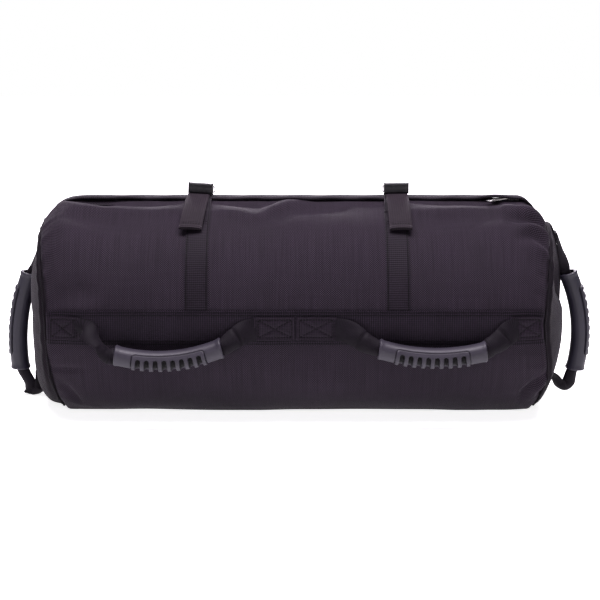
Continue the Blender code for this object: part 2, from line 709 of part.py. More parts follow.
END_HANDLES = {
    # way, top exit, grip top, middle, bottom, kink, bottom exit, all (x, z)
    "left": (-1, (-0.3003, 0.1870), (-0.3129, 0.1453), (-0.3209, 0.0890), (-0.3186, 0.0309), (-0.3090, 0.0095), (-0.2988, 0.0272)),
    "right": (1, (0.2957, 0.1874), (0.3076, 0.1456), (0.3209, 0.0796), (0.3141, 0.0315), (0.3065, 0.0125), (0.2937, 0.0290)),
}


def make_end_handles():
    for hand, (way, top, grip_top, grip_mid, grip_low, kink, low) in END_HANDLES.items():
        name = f"{hand}_end_handle"
        seam, dome = (SEAM_LEFT, DOME_LEFT) if way < 0 else (SEAM_RIGHT, DOME_RIGHT)
        for tab, heights in (("top_tab", (0.1885, 0.1925, 0.1965, 0.2005)), ("bottom_tab", (0.0255, 0.0220, 0.0185, 0.0150))):
            rows = [
                [Vector((dome_x(seam, way, dome, y, z, GAP + 0.0003), y, z)) for y in (-0.0125, -0.006, 0.0, 0.006, 0.0125)]
                for z in heights
            ]
            sheet(f"{name}_{tab}", rows, "webbing", WEBBING_THICK, lambda c, w=way: Vector((w, 0, 0)), side=1.0)
        at = lambda p: Vector((p[0], 0, p[1]))
        top_v, grip_top_v, low_v, kink_v = at(top), at(grip_top), at(low), at(kink)
        lead = [
            (top_v, 0.0024, 0.0050),
            (top_v.lerp(grip_top_v, 0.35) + Vector((way * 0.0012, 0, 0)), 0.0030, 0.0062),
            (top_v.lerp(grip_top_v, 0.72) + Vector((way * 0.0012, 0, 0)), 0.0033, 0.0070),
        ]
        grip_low_v = at(grip_low)
        trail = [
            (grip_low_v.lerp(kink_v, 0.55) + Vector((way * 0.0004, 0, 0)), 0.0034, 0.0070),
            (kink_v, 0.0032, 0.0062),
            (kink_v.lerp(low_v, 0.45) + Vector((0, 0, -0.0008)), 0.0028, 0.0056),
            (low_v, 0.0022, 0.0050),
        ]
        make_handle(name, lead, (grip_top_v, at(grip_mid), grip_low_v), trail, Vector((0, way, 0)), top_v)


# ---------------------------------------------------------------- filler bags
def inner_reach(angle):
    """How far the wrap's inside is from the bag's middle line, at an angle from +Y."""
    best = None
    previous = None
    for phi in [i * 2.5 for i in range(73)]:
        y, z = section(min(phi, FLAT_PHI) if phi > 90 else phi)
        a, r = math.atan2(z - MID_Z, y), math.hypot(y, z - MID_Z)
        if previous is not None and a <= angle <= previous[0]:
            share = (previous[0] - angle) / max(previous[0] - a, 1e-9)
            best = previous[1] + (r - previous[1]) * share
            break
        previous = (a, r)
        if phi >= FLAT_PHI:
            break
    if best is None:
        best = MID_Z / max(-math.sin(angle), 1e-6)
    return best - 0.0065


def filler_ring(x, centre, half, shrink, scale=(1.0, 1.0), sides=16):
    ring = []
    for i in range(sides):
        a = 2 * math.pi * (i + 0.5) / sides
        c, s = math.cos(a), math.sin(a)
        y = centre[0] + math.copysign(abs(c) ** (2 / 3.2), c) * (half[0] * scale[0] - shrink)
        z = centre[1] + math.copysign(abs(s) ** (2 / 3.2), s) * (half[1] * scale[1] - shrink)
        r, angle = math.hypot(y, z - MID_Z), math.atan2(z - MID_Z, abs(y))
        most = inner_reach(angle) - shrink
        if r > most:
            y, z = y * most / r, MID_Z + (z - MID_Z) * most / r
        ring.append(Vector((x, y, z)))
    return ring


FILLERS = {
    "front_lower": ((-0.0590, 0.0600), (0.0570, 0.0535)),
    "rear_lower": ((0.0590, 0.0600), (0.0570, 0.0535)),
    "upper": ((0.0, 0.1680), (0.0980, 0.0515)),
}


def make_fillers():
    wall = 0.0012
    for name, (centre, half) in FILLERS.items():
        length = FILL_RIGHT - FILL_LEFT
        shape = [
            (FILL_LEFT, (0.80, 0.08)), (FILL_LEFT + 0.012, (0.90, 0.55)), (FILL_LEFT + 0.032, (0.98, 0.90)),
            (FILL_LEFT + 0.060, (1.0, 1.0)), (FILL_RIGHT - 0.095, (1.0, 1.0)), (FILL_RIGHT - 0.060, (0.97, 0.86)),
            (FILL_RIGHT - 0.034, (0.88, 0.42)), (FILL_RIGHT - 0.022, (0.84, 0.13)), (FILL_RIGHT, (0.84, 0.13)),
        ]
        outer = [filler_ring(x, centre, half, 0.0, scale) for x, scale in shape]
        middle = Vector((FILL_LEFT - 0.0005, centre[0], centre[1]))
        end = outer[0]
        seal = Vector((FILL_LEFT - 0.0006, sum(p.y for p in end) / len(end), sum(p.z for p in end) / len(end)))
        sheet(
            f"filler_{name}_sleeve", outer[::-1], "sleeve", wall,
            lambda c, m=centre: Vector((0, c.y - m[0], c.z - m[1])), closed=True, centre=seal,
        )
        core = []
        for x, scale in ((FILL_LEFT + 0.018, (0.88, 0.52)), (FILL_LEFT + 0.036, (0.96, 0.84)), (FILL_LEFT + 0.064, (1.0, 1.0)),
                         (FILL_RIGHT - 0.099, (1.0, 1.0)), (FILL_RIGHT - 0.066, (0.95, 0.80)), (FILL_RIGHT - 0.048, (0.88, 0.48))):
            core.append(filler_ring(x, centre, half, 0.0036, scale))
        loft(f"filler_{name}_sand", core, "sand")
        mouth = outer[-1]
        width = max(p.y for p in mouth) - min(p.y for p in mouth)
        tall = max(p.z for p in mouth) - min(p.z for p in mouth)
        low_z = min(p.z for p in mouth)
        box(
            f"filler_{name}_closure",
            (FILL_RIGHT - 0.0085, sum(p.y for p in mouth) / len(mouth), low_z + tall / 2),
            (0.0160, width * 0.74, tall * 0.5), "hook_and_loop",
        )


def main():
    clear()
    make_body()
    make_zip()
    hinge = make_flap()
    slider, pull = make_slider()
    run = empty("zip_slider_axis", (SLIDER_X, 0, skin(0.0, 0, 1).z))
    hung_on(run, slider, pull)
    make_bands()
    make_sewn_straps()
    for bridge, anchor, tilt in make_strap_tops().values():
        hung_on(hinge, bridge, anchor, tilt)
    make_side_handles()
    make_end_handles()
    make_fillers()


main()
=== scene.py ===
import math

import bmesh
import bpy
import numpy as np
from mathutils import Matrix, Vector


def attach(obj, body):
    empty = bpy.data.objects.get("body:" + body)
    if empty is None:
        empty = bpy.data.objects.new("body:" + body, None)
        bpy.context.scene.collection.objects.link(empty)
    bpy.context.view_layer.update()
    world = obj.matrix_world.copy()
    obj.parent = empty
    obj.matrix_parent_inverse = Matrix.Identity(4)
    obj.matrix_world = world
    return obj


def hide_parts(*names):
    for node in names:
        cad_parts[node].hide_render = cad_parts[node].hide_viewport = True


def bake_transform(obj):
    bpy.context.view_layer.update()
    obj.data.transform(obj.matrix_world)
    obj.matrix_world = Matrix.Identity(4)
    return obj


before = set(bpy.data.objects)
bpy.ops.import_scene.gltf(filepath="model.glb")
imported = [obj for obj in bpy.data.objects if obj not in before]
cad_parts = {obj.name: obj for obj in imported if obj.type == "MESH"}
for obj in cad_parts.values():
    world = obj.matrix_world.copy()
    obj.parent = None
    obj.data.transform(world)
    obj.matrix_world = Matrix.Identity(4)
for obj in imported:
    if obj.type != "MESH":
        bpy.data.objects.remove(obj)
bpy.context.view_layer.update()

# ------------------------------------------------------------------ sizes, as the frame has them
SEAM_LEFT, SEAM_RIGHT = -0.2755, 0.2675
HALF_WIDTH, MID_Z, TOP_RISE = 0.125, 0.112, 0.1175  # the filled top settles a little under the frame's
SAG_DROP, SAG_POWER = 0.1215, 2.4
TOP_DROP, TOP_RAMP = 0.023, 0.0265
BASE_LIFT, BASE_RAMP = 0.0030, 0.009
SIDE_PULL, SIDE_RAMP = 0.008, 0.045
DOME_LEFT, DOME_RIGHT, PANEL_CENTRE_Z = 0.0213, 0.0255, 0.110
TOP_Z = MID_Z + TOP_RISE
FLAP_TOP = 0.2365  # of the frame, which the buckles stand on
BAND_Z, BAND_WIDE, STRAP_WIDE = 0.110, 0.038, 0.025
STRAP_X = {"left": -0.111, "right": 0.105}
ZIP_LEFT, ZIP_RIGHT = SEAM_LEFT + 0.019, SEAM_RIGHT - 0.019
SLIDER_X = 0.240
HANDLE_AXIS_Y = -0.1335
GRIP_Y = -0.1402


# ------------------------------------------------------------------ materials
class Paint:
    """A material made by maths on the piece's own coordinates: across and along its cloth, in metres."""

    def __init__(self, name, rough=0.6, metal=0.0, spec=0.5, sheen=0.0, sheen_rough=0.5, coat=0.0):
        self.mat = bpy.data.materials.new(name)
        self.mat.use_nodes = True
        self.tree = self.mat.node_tree
        self.out = self.tree.nodes["Principled BSDF"]
        for key, value in (("Roughness", rough), ("Metallic", metal), ("Specular IOR Level", spec),
                           ("Sheen Weight", sheen), ("Sheen Roughness", sheen_rough), ("Coat Weight", coat)):
            self.out.inputs[key].default_value = value

    def node(self, kind, **props):
        made = self.tree.nodes.new(kind)
        for key, value in props.items():
            setattr(made, key, value)
        return made

    def put(self, socket, value):
        if hasattr(value, "is_linked") or hasattr(value, "links"):
            self.tree.links.new(value, socket)
        else:
            socket.default_value = value

    def math(self, op, a, b=None, c=None, clamp=False):
        made = self.node("ShaderNodeMath", operation=op, use_clamp=clamp)
        for i, v in enumerate((a, b, c)):
            if v is not None:
                self.put(made.inputs[i], v)
        return made.outputs[0]

    def cloth(self):
        """Across and along, in metres."""
        uv = self.node("ShaderNodeUVMap", uv_map="weave")
        split = self.node("ShaderNodeSeparateXYZ")
        self.tree.links.new(uv.outputs[0], split.inputs[0])
        return split.outputs[0], split.outputs[1], uv.outputs[0]

    def place(self):
        return self.node("ShaderNodeTexCoord").outputs["Object"]

    def noise(self, where, scale, detail=2.0, rough=0.5, stretch=None):
        if stretch is not None:
            by = self.node("ShaderNodeVectorMath", operation="MULTIPLY")
            self.put(by.inputs[0], where)
            by.inputs[1].default_value = stretch
            where = by.outputs[0]
        made = self.node("ShaderNodeTexNoise")
        self.put(made.inputs["Vector"], where)
        made.inputs["Scale"].default_value = scale
        made.inputs["Detail"].default_value = detail
        made.inputs["Roughness"].default_value = rough
        return made.outputs["Fac"]

    def span(self, value, a, b, low, high, smooth=False):
        made = self.node("ShaderNodeMapRange", interpolation_type="SMOOTHSTEP" if smooth else "LINEAR")
        for i, v in enumerate((value, a, b, low, high)):
            self.put(made.inputs[i], v)
        return made.outputs[0]

    def mix(self, share, a, b, kind="MIX"):
        made = self.node("ShaderNodeMix", data_type="RGBA", blend_type=kind)
        self.put(made.inputs[0], share)
        self.put(made.inputs[6], a if not isinstance(a, tuple) else (*a, 1.0))
        self.put(made.inputs[7], b if not isinstance(b, tuple) else (*b, 1.0))
        return made.outputs[2]

    def colour(self, value):
        self.put(self.out.inputs["Base Color"], value if not isinstance(value, tuple) else (*value, 1.0))

    def rough(self, value):
        self.put(self.out.inputs["Roughness"], value)

    def bump(self, height, depth, strength=1.0, under=None):
        made = self.node("ShaderNodeBump")
        made.inputs["Strength"].default_value = strength
        made.inputs["Distance"].default_value = depth
        self.put(made.inputs["Height"], height)
        if under is not None:
            self.put(made.inputs["Normal"], under)
        self.put(self.out.inputs["Normal"], made.outputs[0])
        return made.outputs[0]


def nylon(name, dark, light, pitch=0.00118, depth=0.00022):
    """Coarse ballistic weave: single yarns over and under in a chequer, with slubs and a dusty nap."""
    p = Paint(name, rough=0.78, spec=0.08, sheen=0.06, sheen_rough=0.25)
    p.out.inputs["Sheen Tint"].default_value = (0.80, 0.72, 0.84, 1)
    u, v, uv = p.cloth()
    drift = p.noise(uv, 9.0, 2.0)
    u = p.math("ADD", u, p.math("MULTIPLY", p.math("SUBTRACT", drift, 0.5), 0.0035))
    v = p.math("ADD", v, p.math("MULTIPLY", p.math("SUBTRACT", p.noise(uv, 7.0, 2.0, stretch=(1, 1, 3.0)), 0.5), 0.0035))
    a = p.math("SINE", p.math("MULTIPLY", u, math.pi / (pitch * 1.06)))
    b = p.math("SINE", p.math("MULTIPLY", v, math.pi / pitch))
    cell = p.math("MULTIPLY", a, b)
    hump = p.math("POWER", p.math("ABSOLUTE", cell), 0.6)
    over = p.span(cell, -0.14, 0.14, 0.0, 1.0, smooth=True)
    slub_u = p.noise(uv, 1.0, 2.0, stretch=(900.0, 14.0, 1.0))
    slub_v = p.noise(uv, 1.0, 2.0, stretch=(14.0, 900.0, 1.0))
    slub = p.math("ADD", p.math("MULTIPLY", slub_u, over), p.math("MULTIPLY", slub_v, p.math("SUBTRACT", 1.0, over)))
    height = p.math("MULTIPLY", hump, p.math("ADD", 0.55, p.math("MULTIPLY", over, 0.45)))
    share = p.math("ADD", 0.10, p.math("MULTIPLY", over, p.math("ADD", 0.55, p.math("MULTIPLY", hump, 0.30))))
    share = p.math("MULTIPLY", share, p.span(slub, 0.3, 0.7, 0.70, 1.20))
    cloudy = p.noise(p.place(), 22.0, 3.0, 0.6)
    share = p.math("MULTIPLY", share, p.span(cloudy, 0.25, 0.75, 0.82, 1.14))
    p.colour(p.mix(p.math("MULTIPLY", share, 1.0, clamp=True), dark, light))
    p.rough(p.span(cloudy, 0.3, 0.7, 0.74, 0.88))
    p.bump(height, depth, 0.9)
    return p.mat


def webbing(name, dark, light, rib=0.00240, column=0.00215, depth=0.00032, rows=()):
    """Woven strap: raised cross ribs, split into columns by the lengthwise yarns."""
    p = Paint(name, rough=0.66, spec=0.08, sheen=0.015, sheen_rough=0.5)
    p.out.inputs["Sheen Tint"].default_value = (0.80, 0.74, 0.84, 1)
    u, v, uv = p.cloth()
    wander = p.math("MULTIPLY", p.math("SUBTRACT", p.noise(uv, 60.0, 2.0), 0.5), 0.0007)
    ribs = p.math("SINE", p.math("MULTIPLY", p.math("ADD", v, wander), 2 * math.pi / rib))
    cols = p.math("SINE", p.math("MULTIPLY", u, 2 * math.pi / column))
    fine = p.math("SINE", p.math("MULTIPLY", u, 2 * math.pi / (column / 3.0)))
    height = p.math("ADD", p.math("MULTIPLY", ribs, 0.40), p.math("ADD", p.math("MULTIPLY", cols, 0.16), p.math("MULTIPLY", fine, 0.06)))
    height = p.span(height, -0.62, 0.62, 0.0, 1.0)
    fibre = p.noise(uv, 1.0, 3.0, stretch=(1600.0, 160.0, 1.0))
    share = p.math("MULTIPLY", height, p.span(fibre, 0.3, 0.7, 0.6, 1.2))
    # sunk lines where rows of stitches pull the strap down; their darkening in colour is painted shade in the sunk
    # lines
    for row in rows:
        near = p.span(p.math("ABSOLUTE", p.math("SUBTRACT", p.math("ABSOLUTE", u), row)), 0.0002, 0.0009, 0.0, 1.0, smooth=True)
        share = p.math("MULTIPLY", share, p.span(near, 0.0, 1.0, 0.35, 1.0))
        height = p.math("MULTIPLY", height, near)
    dusty = p.noise(p.place(), 30.0, 2.0)
    share = p.math("MULTIPLY", share, p.span(dusty, 0.3, 0.7, 0.85, 1.12))
    p.colour(p.mix(p.math("MULTIPLY", share, 1.0, clamp=True), dark, light))
    p.rough(p.span(fibre, 0.3, 0.7, 0.58, 0.74))
    p.bump(height, depth, 0.9)
    return p.mat


SLOT_PITCH, SLOT_HALF, SLOT_REACH, FIELD_HALF, FIELD_EDGE = 0.0093, 0.0025, 0.0114, 0.0392, 0.0050


def rubber(name, colour, worn):
    """Satin rubber, rougher down in the slots of its ribbed field, with the slots and the thin groove round the field
    painted near black: painted shade for their hollows.
    """
    p = Paint(name, rough=0.42, spec=0.32)
    where = p.place()
    grain = p.noise(where, 1900.0, 2.0, 0.6)
    pits = p.noise(where, 420.0, 2.0, 0.55)
    smear = p.noise(where, 34.0, 3.0, 0.6)
    u, v, uv = p.cloth()
    size = lambda a, b: p.math("SQRT", p.math("ADD", p.math("MULTIPLY", a, a), p.math("MULTIPLY", b, b)))
    far_u, far_v = p.math("ABSOLUTE", u), p.math("ABSOLUTE", v)
    # masks for the painted shade: the eight slots, and below them the groove line round the field
    to_slot = p.math("MULTIPLY", p.math("ABSOLUTE", p.math("SUBTRACT", p.math("FRACT", p.math("DIVIDE", v, SLOT_PITCH)), 0.5)), SLOT_PITCH)
    past = p.math("MAXIMUM", p.math("SUBTRACT", far_u, SLOT_REACH - SLOT_HALF), 0.0)
    slot = p.span(p.math("SUBTRACT", size(to_slot, past), SLOT_HALF), -0.0005, 0.0003, 1.0, 0.0, smooth=True)
    slot = p.math("MULTIPLY", slot, p.span(far_v, 4 * SLOT_PITCH - 0.0003, 4 * SLOT_PITCH + 0.0003, 1.0, 0.0))
    out_v = p.math("SUBTRACT", far_v, FIELD_HALF - 0.004)
    out_u = p.math("SUBTRACT", far_u, SLOT_REACH + FIELD_EDGE - 0.004)
    field = p.math("SUBTRACT", p.math("ADD", size(p.math("MAXIMUM", out_v, 0.0), p.math("MAXIMUM", out_u, 0.0)),
                                      p.math("MINIMUM", p.math("MAXIMUM", out_v, out_u), 0.0)), 0.004)
    line = p.span(p.math("ABSOLUTE", p.math("SUBTRACT", field, 0.0004)), 0.0001, 0.0006, 0.8, 0.0, smooth=True)
    unshaded_rubber = p.mix(p.span(smear, 0.35, 0.75, 0.0, 0.6), colour, worn)
    # painted shade: the slots and the groove line are mixed to near black
    dark = p.mix(p.math("MAXIMUM", slot, line), unshaded_rubber, (0.0012, 0.0009, 0.0015))
    p.colour(dark)
    rough = p.math("ADD", p.span(smear, 0.3, 0.7, 0.42, 0.54), p.math("MULTIPLY", pits, 0.06))
    p.rough(p.math("ADD", rough, p.math("MULTIPLY", slot, 0.40)))
    p.bump(p.math("ADD", p.math("MULTIPLY", grain, 0.5), p.math("MULTIPLY", pits, 0.5)), 0.00012, 0.55)
    return p.mat


def black_metal(name):
    p = Paint(name, rough=0.36, metal=0.35, spec=0.5, coat=0.10)
    where = p.place()
    smear = p.noise(where, 90.0, 3.0, 0.6)
    scuff = p.noise(where, 1.0, 4.0, 0.6, stretch=(260.0, 1500.0, 700.0))
    p.colour(p.mix(p.span(scuff, 0.60, 0.74, 0.0, 0.55), (0.020, 0.019, 0.022), (0.10, 0.095, 0.10)))
    p.rough(p.span(smear, 0.3, 0.7, 0.26, 0.46))
    p.bump(p.noise(where, 900.0, 2.0), 0.00006, 0.4)
    return p.mat


def bright_metal(name):
    p = Paint(name, rough=0.24, metal=1.0, spec=0.5)
    where = p.place()
    brushed = p.noise(where, 1.0, 3.0, 0.6, stretch=(300.0, 2600.0, 2600.0))
    haze = p.noise(where, 160.0, 3.0, 0.6)
    p.colour(p.mix(p.span(haze, 0.3, 0.8, 0.0, 0.7), (0.70, 0.68, 0.66), (0.50, 0.48, 0.46)))
    p.rough(p.math("ADD", p.span(haze, 0.3, 0.7, 0.16, 0.30), p.math("MULTIPLY", brushed, 0.08)))
    p.bump(brushed, 0.00003, 0.4)
    return p.mat


def coil_plastic(name):
    p = Paint(name, rough=0.45, spec=0.4)
    where = p.place()
    grain = p.noise(where, 800.0, 2.0)
    p.colour(p.mix(p.span(grain, 0.3, 0.7, 0.0, 1.0), (0.012, 0.011, 0.013), (0.026, 0.024, 0.028)))
    p.rough(p.span(grain, 0.3, 0.7, 0.38, 0.52))
    p.bump(grain, 0.00004, 0.4)
    return p.mat


def thread(name, colour, light):
    """Twisted sewing thread."""
    p = Paint(name, rough=0.70, spec=0.10)
    u, v, uv = p.cloth()
    twist = p.math("SINE", p.math("MULTIPLY", p.math("ADD", v, p.math("MULTIPLY", u, 0.5)), 2 * math.pi / 0.0006))
    p.colour(p.mix(p.span(twist, -1.0, 1.0, 0.0, 1.0), colour, light))
    p.bump(twist, 0.00008, 0.7)
    return p.mat


def sand_grains(name):
    p = Paint(name, rough=0.95, spec=0.3)
    where = p.place()
    cells = p.node("ShaderNodeTexVoronoi")
    p.put(cells.inputs["Vector"], where)
    cells.inputs["Scale"].default_value = 900.0
    tint = p.noise(where, 1300.0, 3.0, 0.7)
    patch = p.noise(where, 40.0, 3.0)
    grains = p.mix(p.span(tint, 0.3, 0.7, 0.0, 1.0), (0.33, 0.25, 0.16), (0.66, 0.56, 0.41))
    p.colour(p.mix(p.span(patch, 0.3, 0.7, 0.0, 0.3), grains, (0.40, 0.31, 0.20)))
    p.bump(cells.outputs["Distance"], 0.0006, 0.9)
    return p.mat


def hooks(name):
    p = Paint(name, rough=0.9, spec=0.25, sheen=0.3)
    where = p.place()
    cells = p.node("ShaderNodeTexVoronoi")
    p.put(cells.inputs["Vector"], where)
    cells.inputs["Scale"].default_value = 1300.0
    p.colour(p.mix(p.span(cells.outputs["Distance"], 0.0, 0.7, 0.0, 1.0), (0.045, 0.045, 0.045), (0.012, 0.012, 0.012)))
    p.bump(cells.outputs["Distance"], 0.0007, 0.9)
    return p.mat


MAT = {
    "nylon": nylon("bag_nylon", (0.0018, 0.0013, 0.0020), (0.0350, 0.0258, 0.0385)),
    # the end panels are the wrap's nylon, painted darker: painted shade for the ends, which face away from the lights
    "panel": nylon("shaded_panel_nylon", (0.0008, 0.0006, 0.0009), (0.0135, 0.0094, 0.0145)),
    "flap": nylon("flap_nylon", (0.0056, 0.0048, 0.0062), (0.0370, 0.0312, 0.0392), pitch=0.0009, depth=0.00014),
    # the piping is the wrap's nylon, painted about three times darker: painted shade for the groove of the seam
    "pipe": nylon("shaded_piping_nylon", (0.0010, 0.0007, 0.0011), (0.0110, 0.0078, 0.0120), pitch=0.0010, depth=0.00014),
    "tape": nylon("zip_tape_cloth", (0.004, 0.0032, 0.0044), (0.022, 0.018, 0.024), pitch=0.0007, depth=0.0001),
    "band": webbing("band_webbing", (0.0018, 0.0013, 0.0021), (0.0238, 0.0164, 0.0274), rows=(0.0170, 0.0140)),
    "strap": webbing("strap_webbing", (0.0014, 0.0010, 0.0016), (0.0180, 0.0126, 0.0202), rows=(0.0108,)),
    # the tail is the strap's own webbing, painted lighter: painted light for its top, which faces the top light
    "tail": webbing("lit_tail_webbing", (0.0023, 0.0017, 0.0023), (0.0285, 0.0207, 0.0281), rib=0.0021, column=0.0024, depth=0.00022),
    # the handles are the front tabs' webbing, painted about half as light: painted shade for the curled strands and the
    # end handles
    "handle": webbing("shaded_handle_webbing", (0.0010, 0.0007, 0.0012), (0.0104, 0.0072, 0.0120), rib=0.0014, column=0.0014, depth=0.00014),
    "tab": webbing("tab_webbing", (0.0018, 0.0012, 0.0021), (0.0205, 0.0138, 0.0230), rib=0.0018, column=0.0018, depth=0.00018),
    "rubber": rubber("grip_rubber", (0.0178, 0.0150, 0.0232), (0.0290, 0.0246, 0.0368)),
    # the end grips are the side grips' rubber, painted darker: painted shade for grips that face away from the lights
    "shaded_end_rubber": rubber("shaded_end_grip_rubber", (0.0122, 0.0108, 0.0186), (0.0204, 0.0182, 0.0296)),
    "black": black_metal("black_steel"),
    "bright": bright_metal("nickel_plate"),
    "coil": coil_plastic("zip_coil_plastic"),
    "thread": thread("sewing_thread", (0.0005, 0.0003, 0.0006), (0.0018, 0.0012, 0.0021)),
    "sleeve": nylon("sleeve_cloth", (0.010, 0.011, 0.016), (0.060, 0.066, 0.086), pitch=0.0009, depth=0.00012),
    "sand": sand_grains("dry_sand"),
    "hooks": hooks("hook_and_loop_pile"),
}


# ------------------------------------------------------------------ mesh helpers
def volume(points, faces):
    """Signed: positive where the faces of a closed piece look outwards."""
    total = 0.0
    by_size = {}
    for f in faces:
        by_size.setdefault(len(f), []).append(f)
    for n, group in by_size.items():
        group = np.array(group)
        for k in range(1, n - 1):
            a, b, c = points[group[:, 0]], points[group[:, k]], points[group[:, k + 1]]
            total += float(np.sum(a * np.cross(b, c))) / 6
    return total


def solid(name, points, faces, material, uv=None, sharp=38.0, closed=False):
    mesh = bpy.data.meshes.new(name)
    points = np.asarray(points, float).reshape(-1, 3)
    if closed and volume(points - points.mean(0), faces) < 0:
        faces = [tuple(f)[::-1] for f in faces]
    mesh.from_pydata(points.tolist(), [], [tuple(int(i) for i in f) for f in faces])
    mesh.validate()
    mesh.materials.append(material)
    layer = mesh.uv_layers.new(name="weave")
    if uv is None:
        uv = np.asarray(points, float).reshape(-1, 3)[:, [0, 2]]
    index = np.zeros(len(mesh.loops), np.int32)
    mesh.loops.foreach_get("vertex_index", index)
    layer.data.foreach_set("uv", np.asarray(uv, np.float32).reshape(-1, 2)[index].ravel())
    mesh.shade_smooth()
    if sharp:
        mesh.set_sharp_from_angle(angle=math.radians(sharp))
    obj = bpy.data.objects.new(name, mesh)
    bpy.context.scene.collection.objects.link(obj)
    return obj


def quads(rows, cols, wrap=False, start=0, flip=False):
    """Faces of a rows by cols grid of vertices, the columns closed on themselves if wrap."""
    r = np.arange(rows - 1)[:, None]
    c = np.arange(cols if wrap else cols - 1)[None, :]
    n = (c + 1) % cols
    a, b, d, e = r * cols + c, r * cols + n, (r + 1) * cols + n, (r + 1) * cols + c
    made = np.stack([a, b, d, e], -1).reshape(-1, 4) + start
    return made[:, ::-1] if flip else made


def ribbon(name, P, N, thick, material, across, along, taper=0.35):
    """A strip of webbing or doubled cloth over a grid of points: rows along it, columns across it.
    thick is one number, or one for each row, column or point."""
    na, nb = P.shape[:2]
    q = np.linspace(-1, 1, nb)
    half = np.broadcast_to(np.asarray(thick, float) / 2, (na, nb)) * (taper + (1 - taper) * np.sqrt(np.clip(1 - np.abs(q) ** 8, 0, 1)))[None]
    top = P + N * half[..., None]
    low = P - N * half[..., None]
    points = np.concatenate([top.reshape(-1, 3), low.reshape(-1, 3)])
    base = na * nb
    faces = [quads(na, nb), quads(na, nb, start=base, flip=True)]
    i = np.arange(na - 1)
    for col, flip in ((0, False), (nb - 1, True)):
        a, b = i * nb + col, (i + 1) * nb + col
        f = np.stack([a, b, b + base, a + base], -1)
        faces.append(f[:, ::-1] if flip else f)
    j = np.arange(nb - 1)
    for row, flip in ((0, True), (na - 1, False)):
        a, b = row * nb + j, row * nb + j + 1
        f = np.stack([a, b, b + base, a + base], -1)
        faces.append(f[:, ::-1] if flip else f)
    uu, vv = np.broadcast_to(across, (na, nb)), np.broadcast_to(np.asarray(along)[:, None], (na, nb))
    uv = np.stack([uu, vv], -1).reshape(-1, 2)
    return solid(name, points, np.concatenate(faces), material, np.concatenate([uv, uv]), closed=True)


def lengths(P):
    P = np.asarray(P, float)
    return np.concatenate([[0], np.cumsum(np.linalg.norm(np.diff(P, axis=0), axis=1))])


def spline(points, count):
    """Points evenly along a smooth curve through the given ones (Catmull-Rom)."""
    p = np.asarray(points, float)
    p = np.concatenate([[2 * p[0] - p[1]], p, [2 * p[-1] - p[-2]]])
    made = []
    for i in range(1, len(p) - 2):
        t = np.linspace(0, 1, 24, endpoint=False)[:, None]
        a, b, c, d = p[i - 1], p[i], p[i + 1], p[i + 2]
        made.append(0.5 * (2 * b + (c - a) * t + (2 * a - 5 * b + 4 * c - d) * t**2 + (3 * b - a - 3 * c + d) * t**3))
    made = np.concatenate([*made, p[-2:-1]])
    at = lengths(made)
    want = np.linspace(0, at[-1], count)
    return np.stack([np.interp(want, at, made[:, k]) for k in range(p.shape[1])], -1)


def tube(name, path, radius, material, sides=12, closed=False, uv_scale=1.0):
    """A round cord through the points."""
    path = np.asarray(path, float)
    n = len(path)
    ahead = np.roll(path, -1, 0) - np.roll(path, 1, 0) if closed else np.gradient(path, axis=0)
    ahead /= np.linalg.norm(ahead, axis=1, keepdims=True)
    up = np.cross(ahead, np.array([1.0, 0, 0]))
    bad = np.linalg.norm(up, axis=1) < 0.2
    up[bad] = np.cross(ahead[bad], np.array([0, 0, 1.0]))
    up /= np.linalg.norm(up, axis=1, keepdims=True)
    side = np.cross(ahead, up)
    a = np.linspace(0, 2 * math.pi, sides, endpoint=False)
    r = np.broadcast_to(radius, (n,))[:, None, None]
    ring = path[:, None] + r * (np.cos(a)[None, :, None] * up[:, None] + np.sin(a)[None, :, None] * side[:, None])
    rows = n + 1 if closed else n
    if closed:
        ring = np.concatenate([ring, ring[:1]])
    faces = list(quads(rows, sides, wrap=True))
    if not closed:
        faces += [tuple(range(sides))[::-1], tuple((n - 1) * sides + i for i in range(sides))]
    steps = np.concatenate([[0], np.cumsum(np.linalg.norm(np.diff(ring.mean(1), axis=0), axis=1))])
    uv = np.stack(np.broadcast_arrays(a[None] * float(np.mean(radius)), steps[:, None] * uv_scale), -1)
    return solid(name, ring.reshape(-1, 3), faces, material, uv.reshape(-1, 2), sharp=60, closed=True)


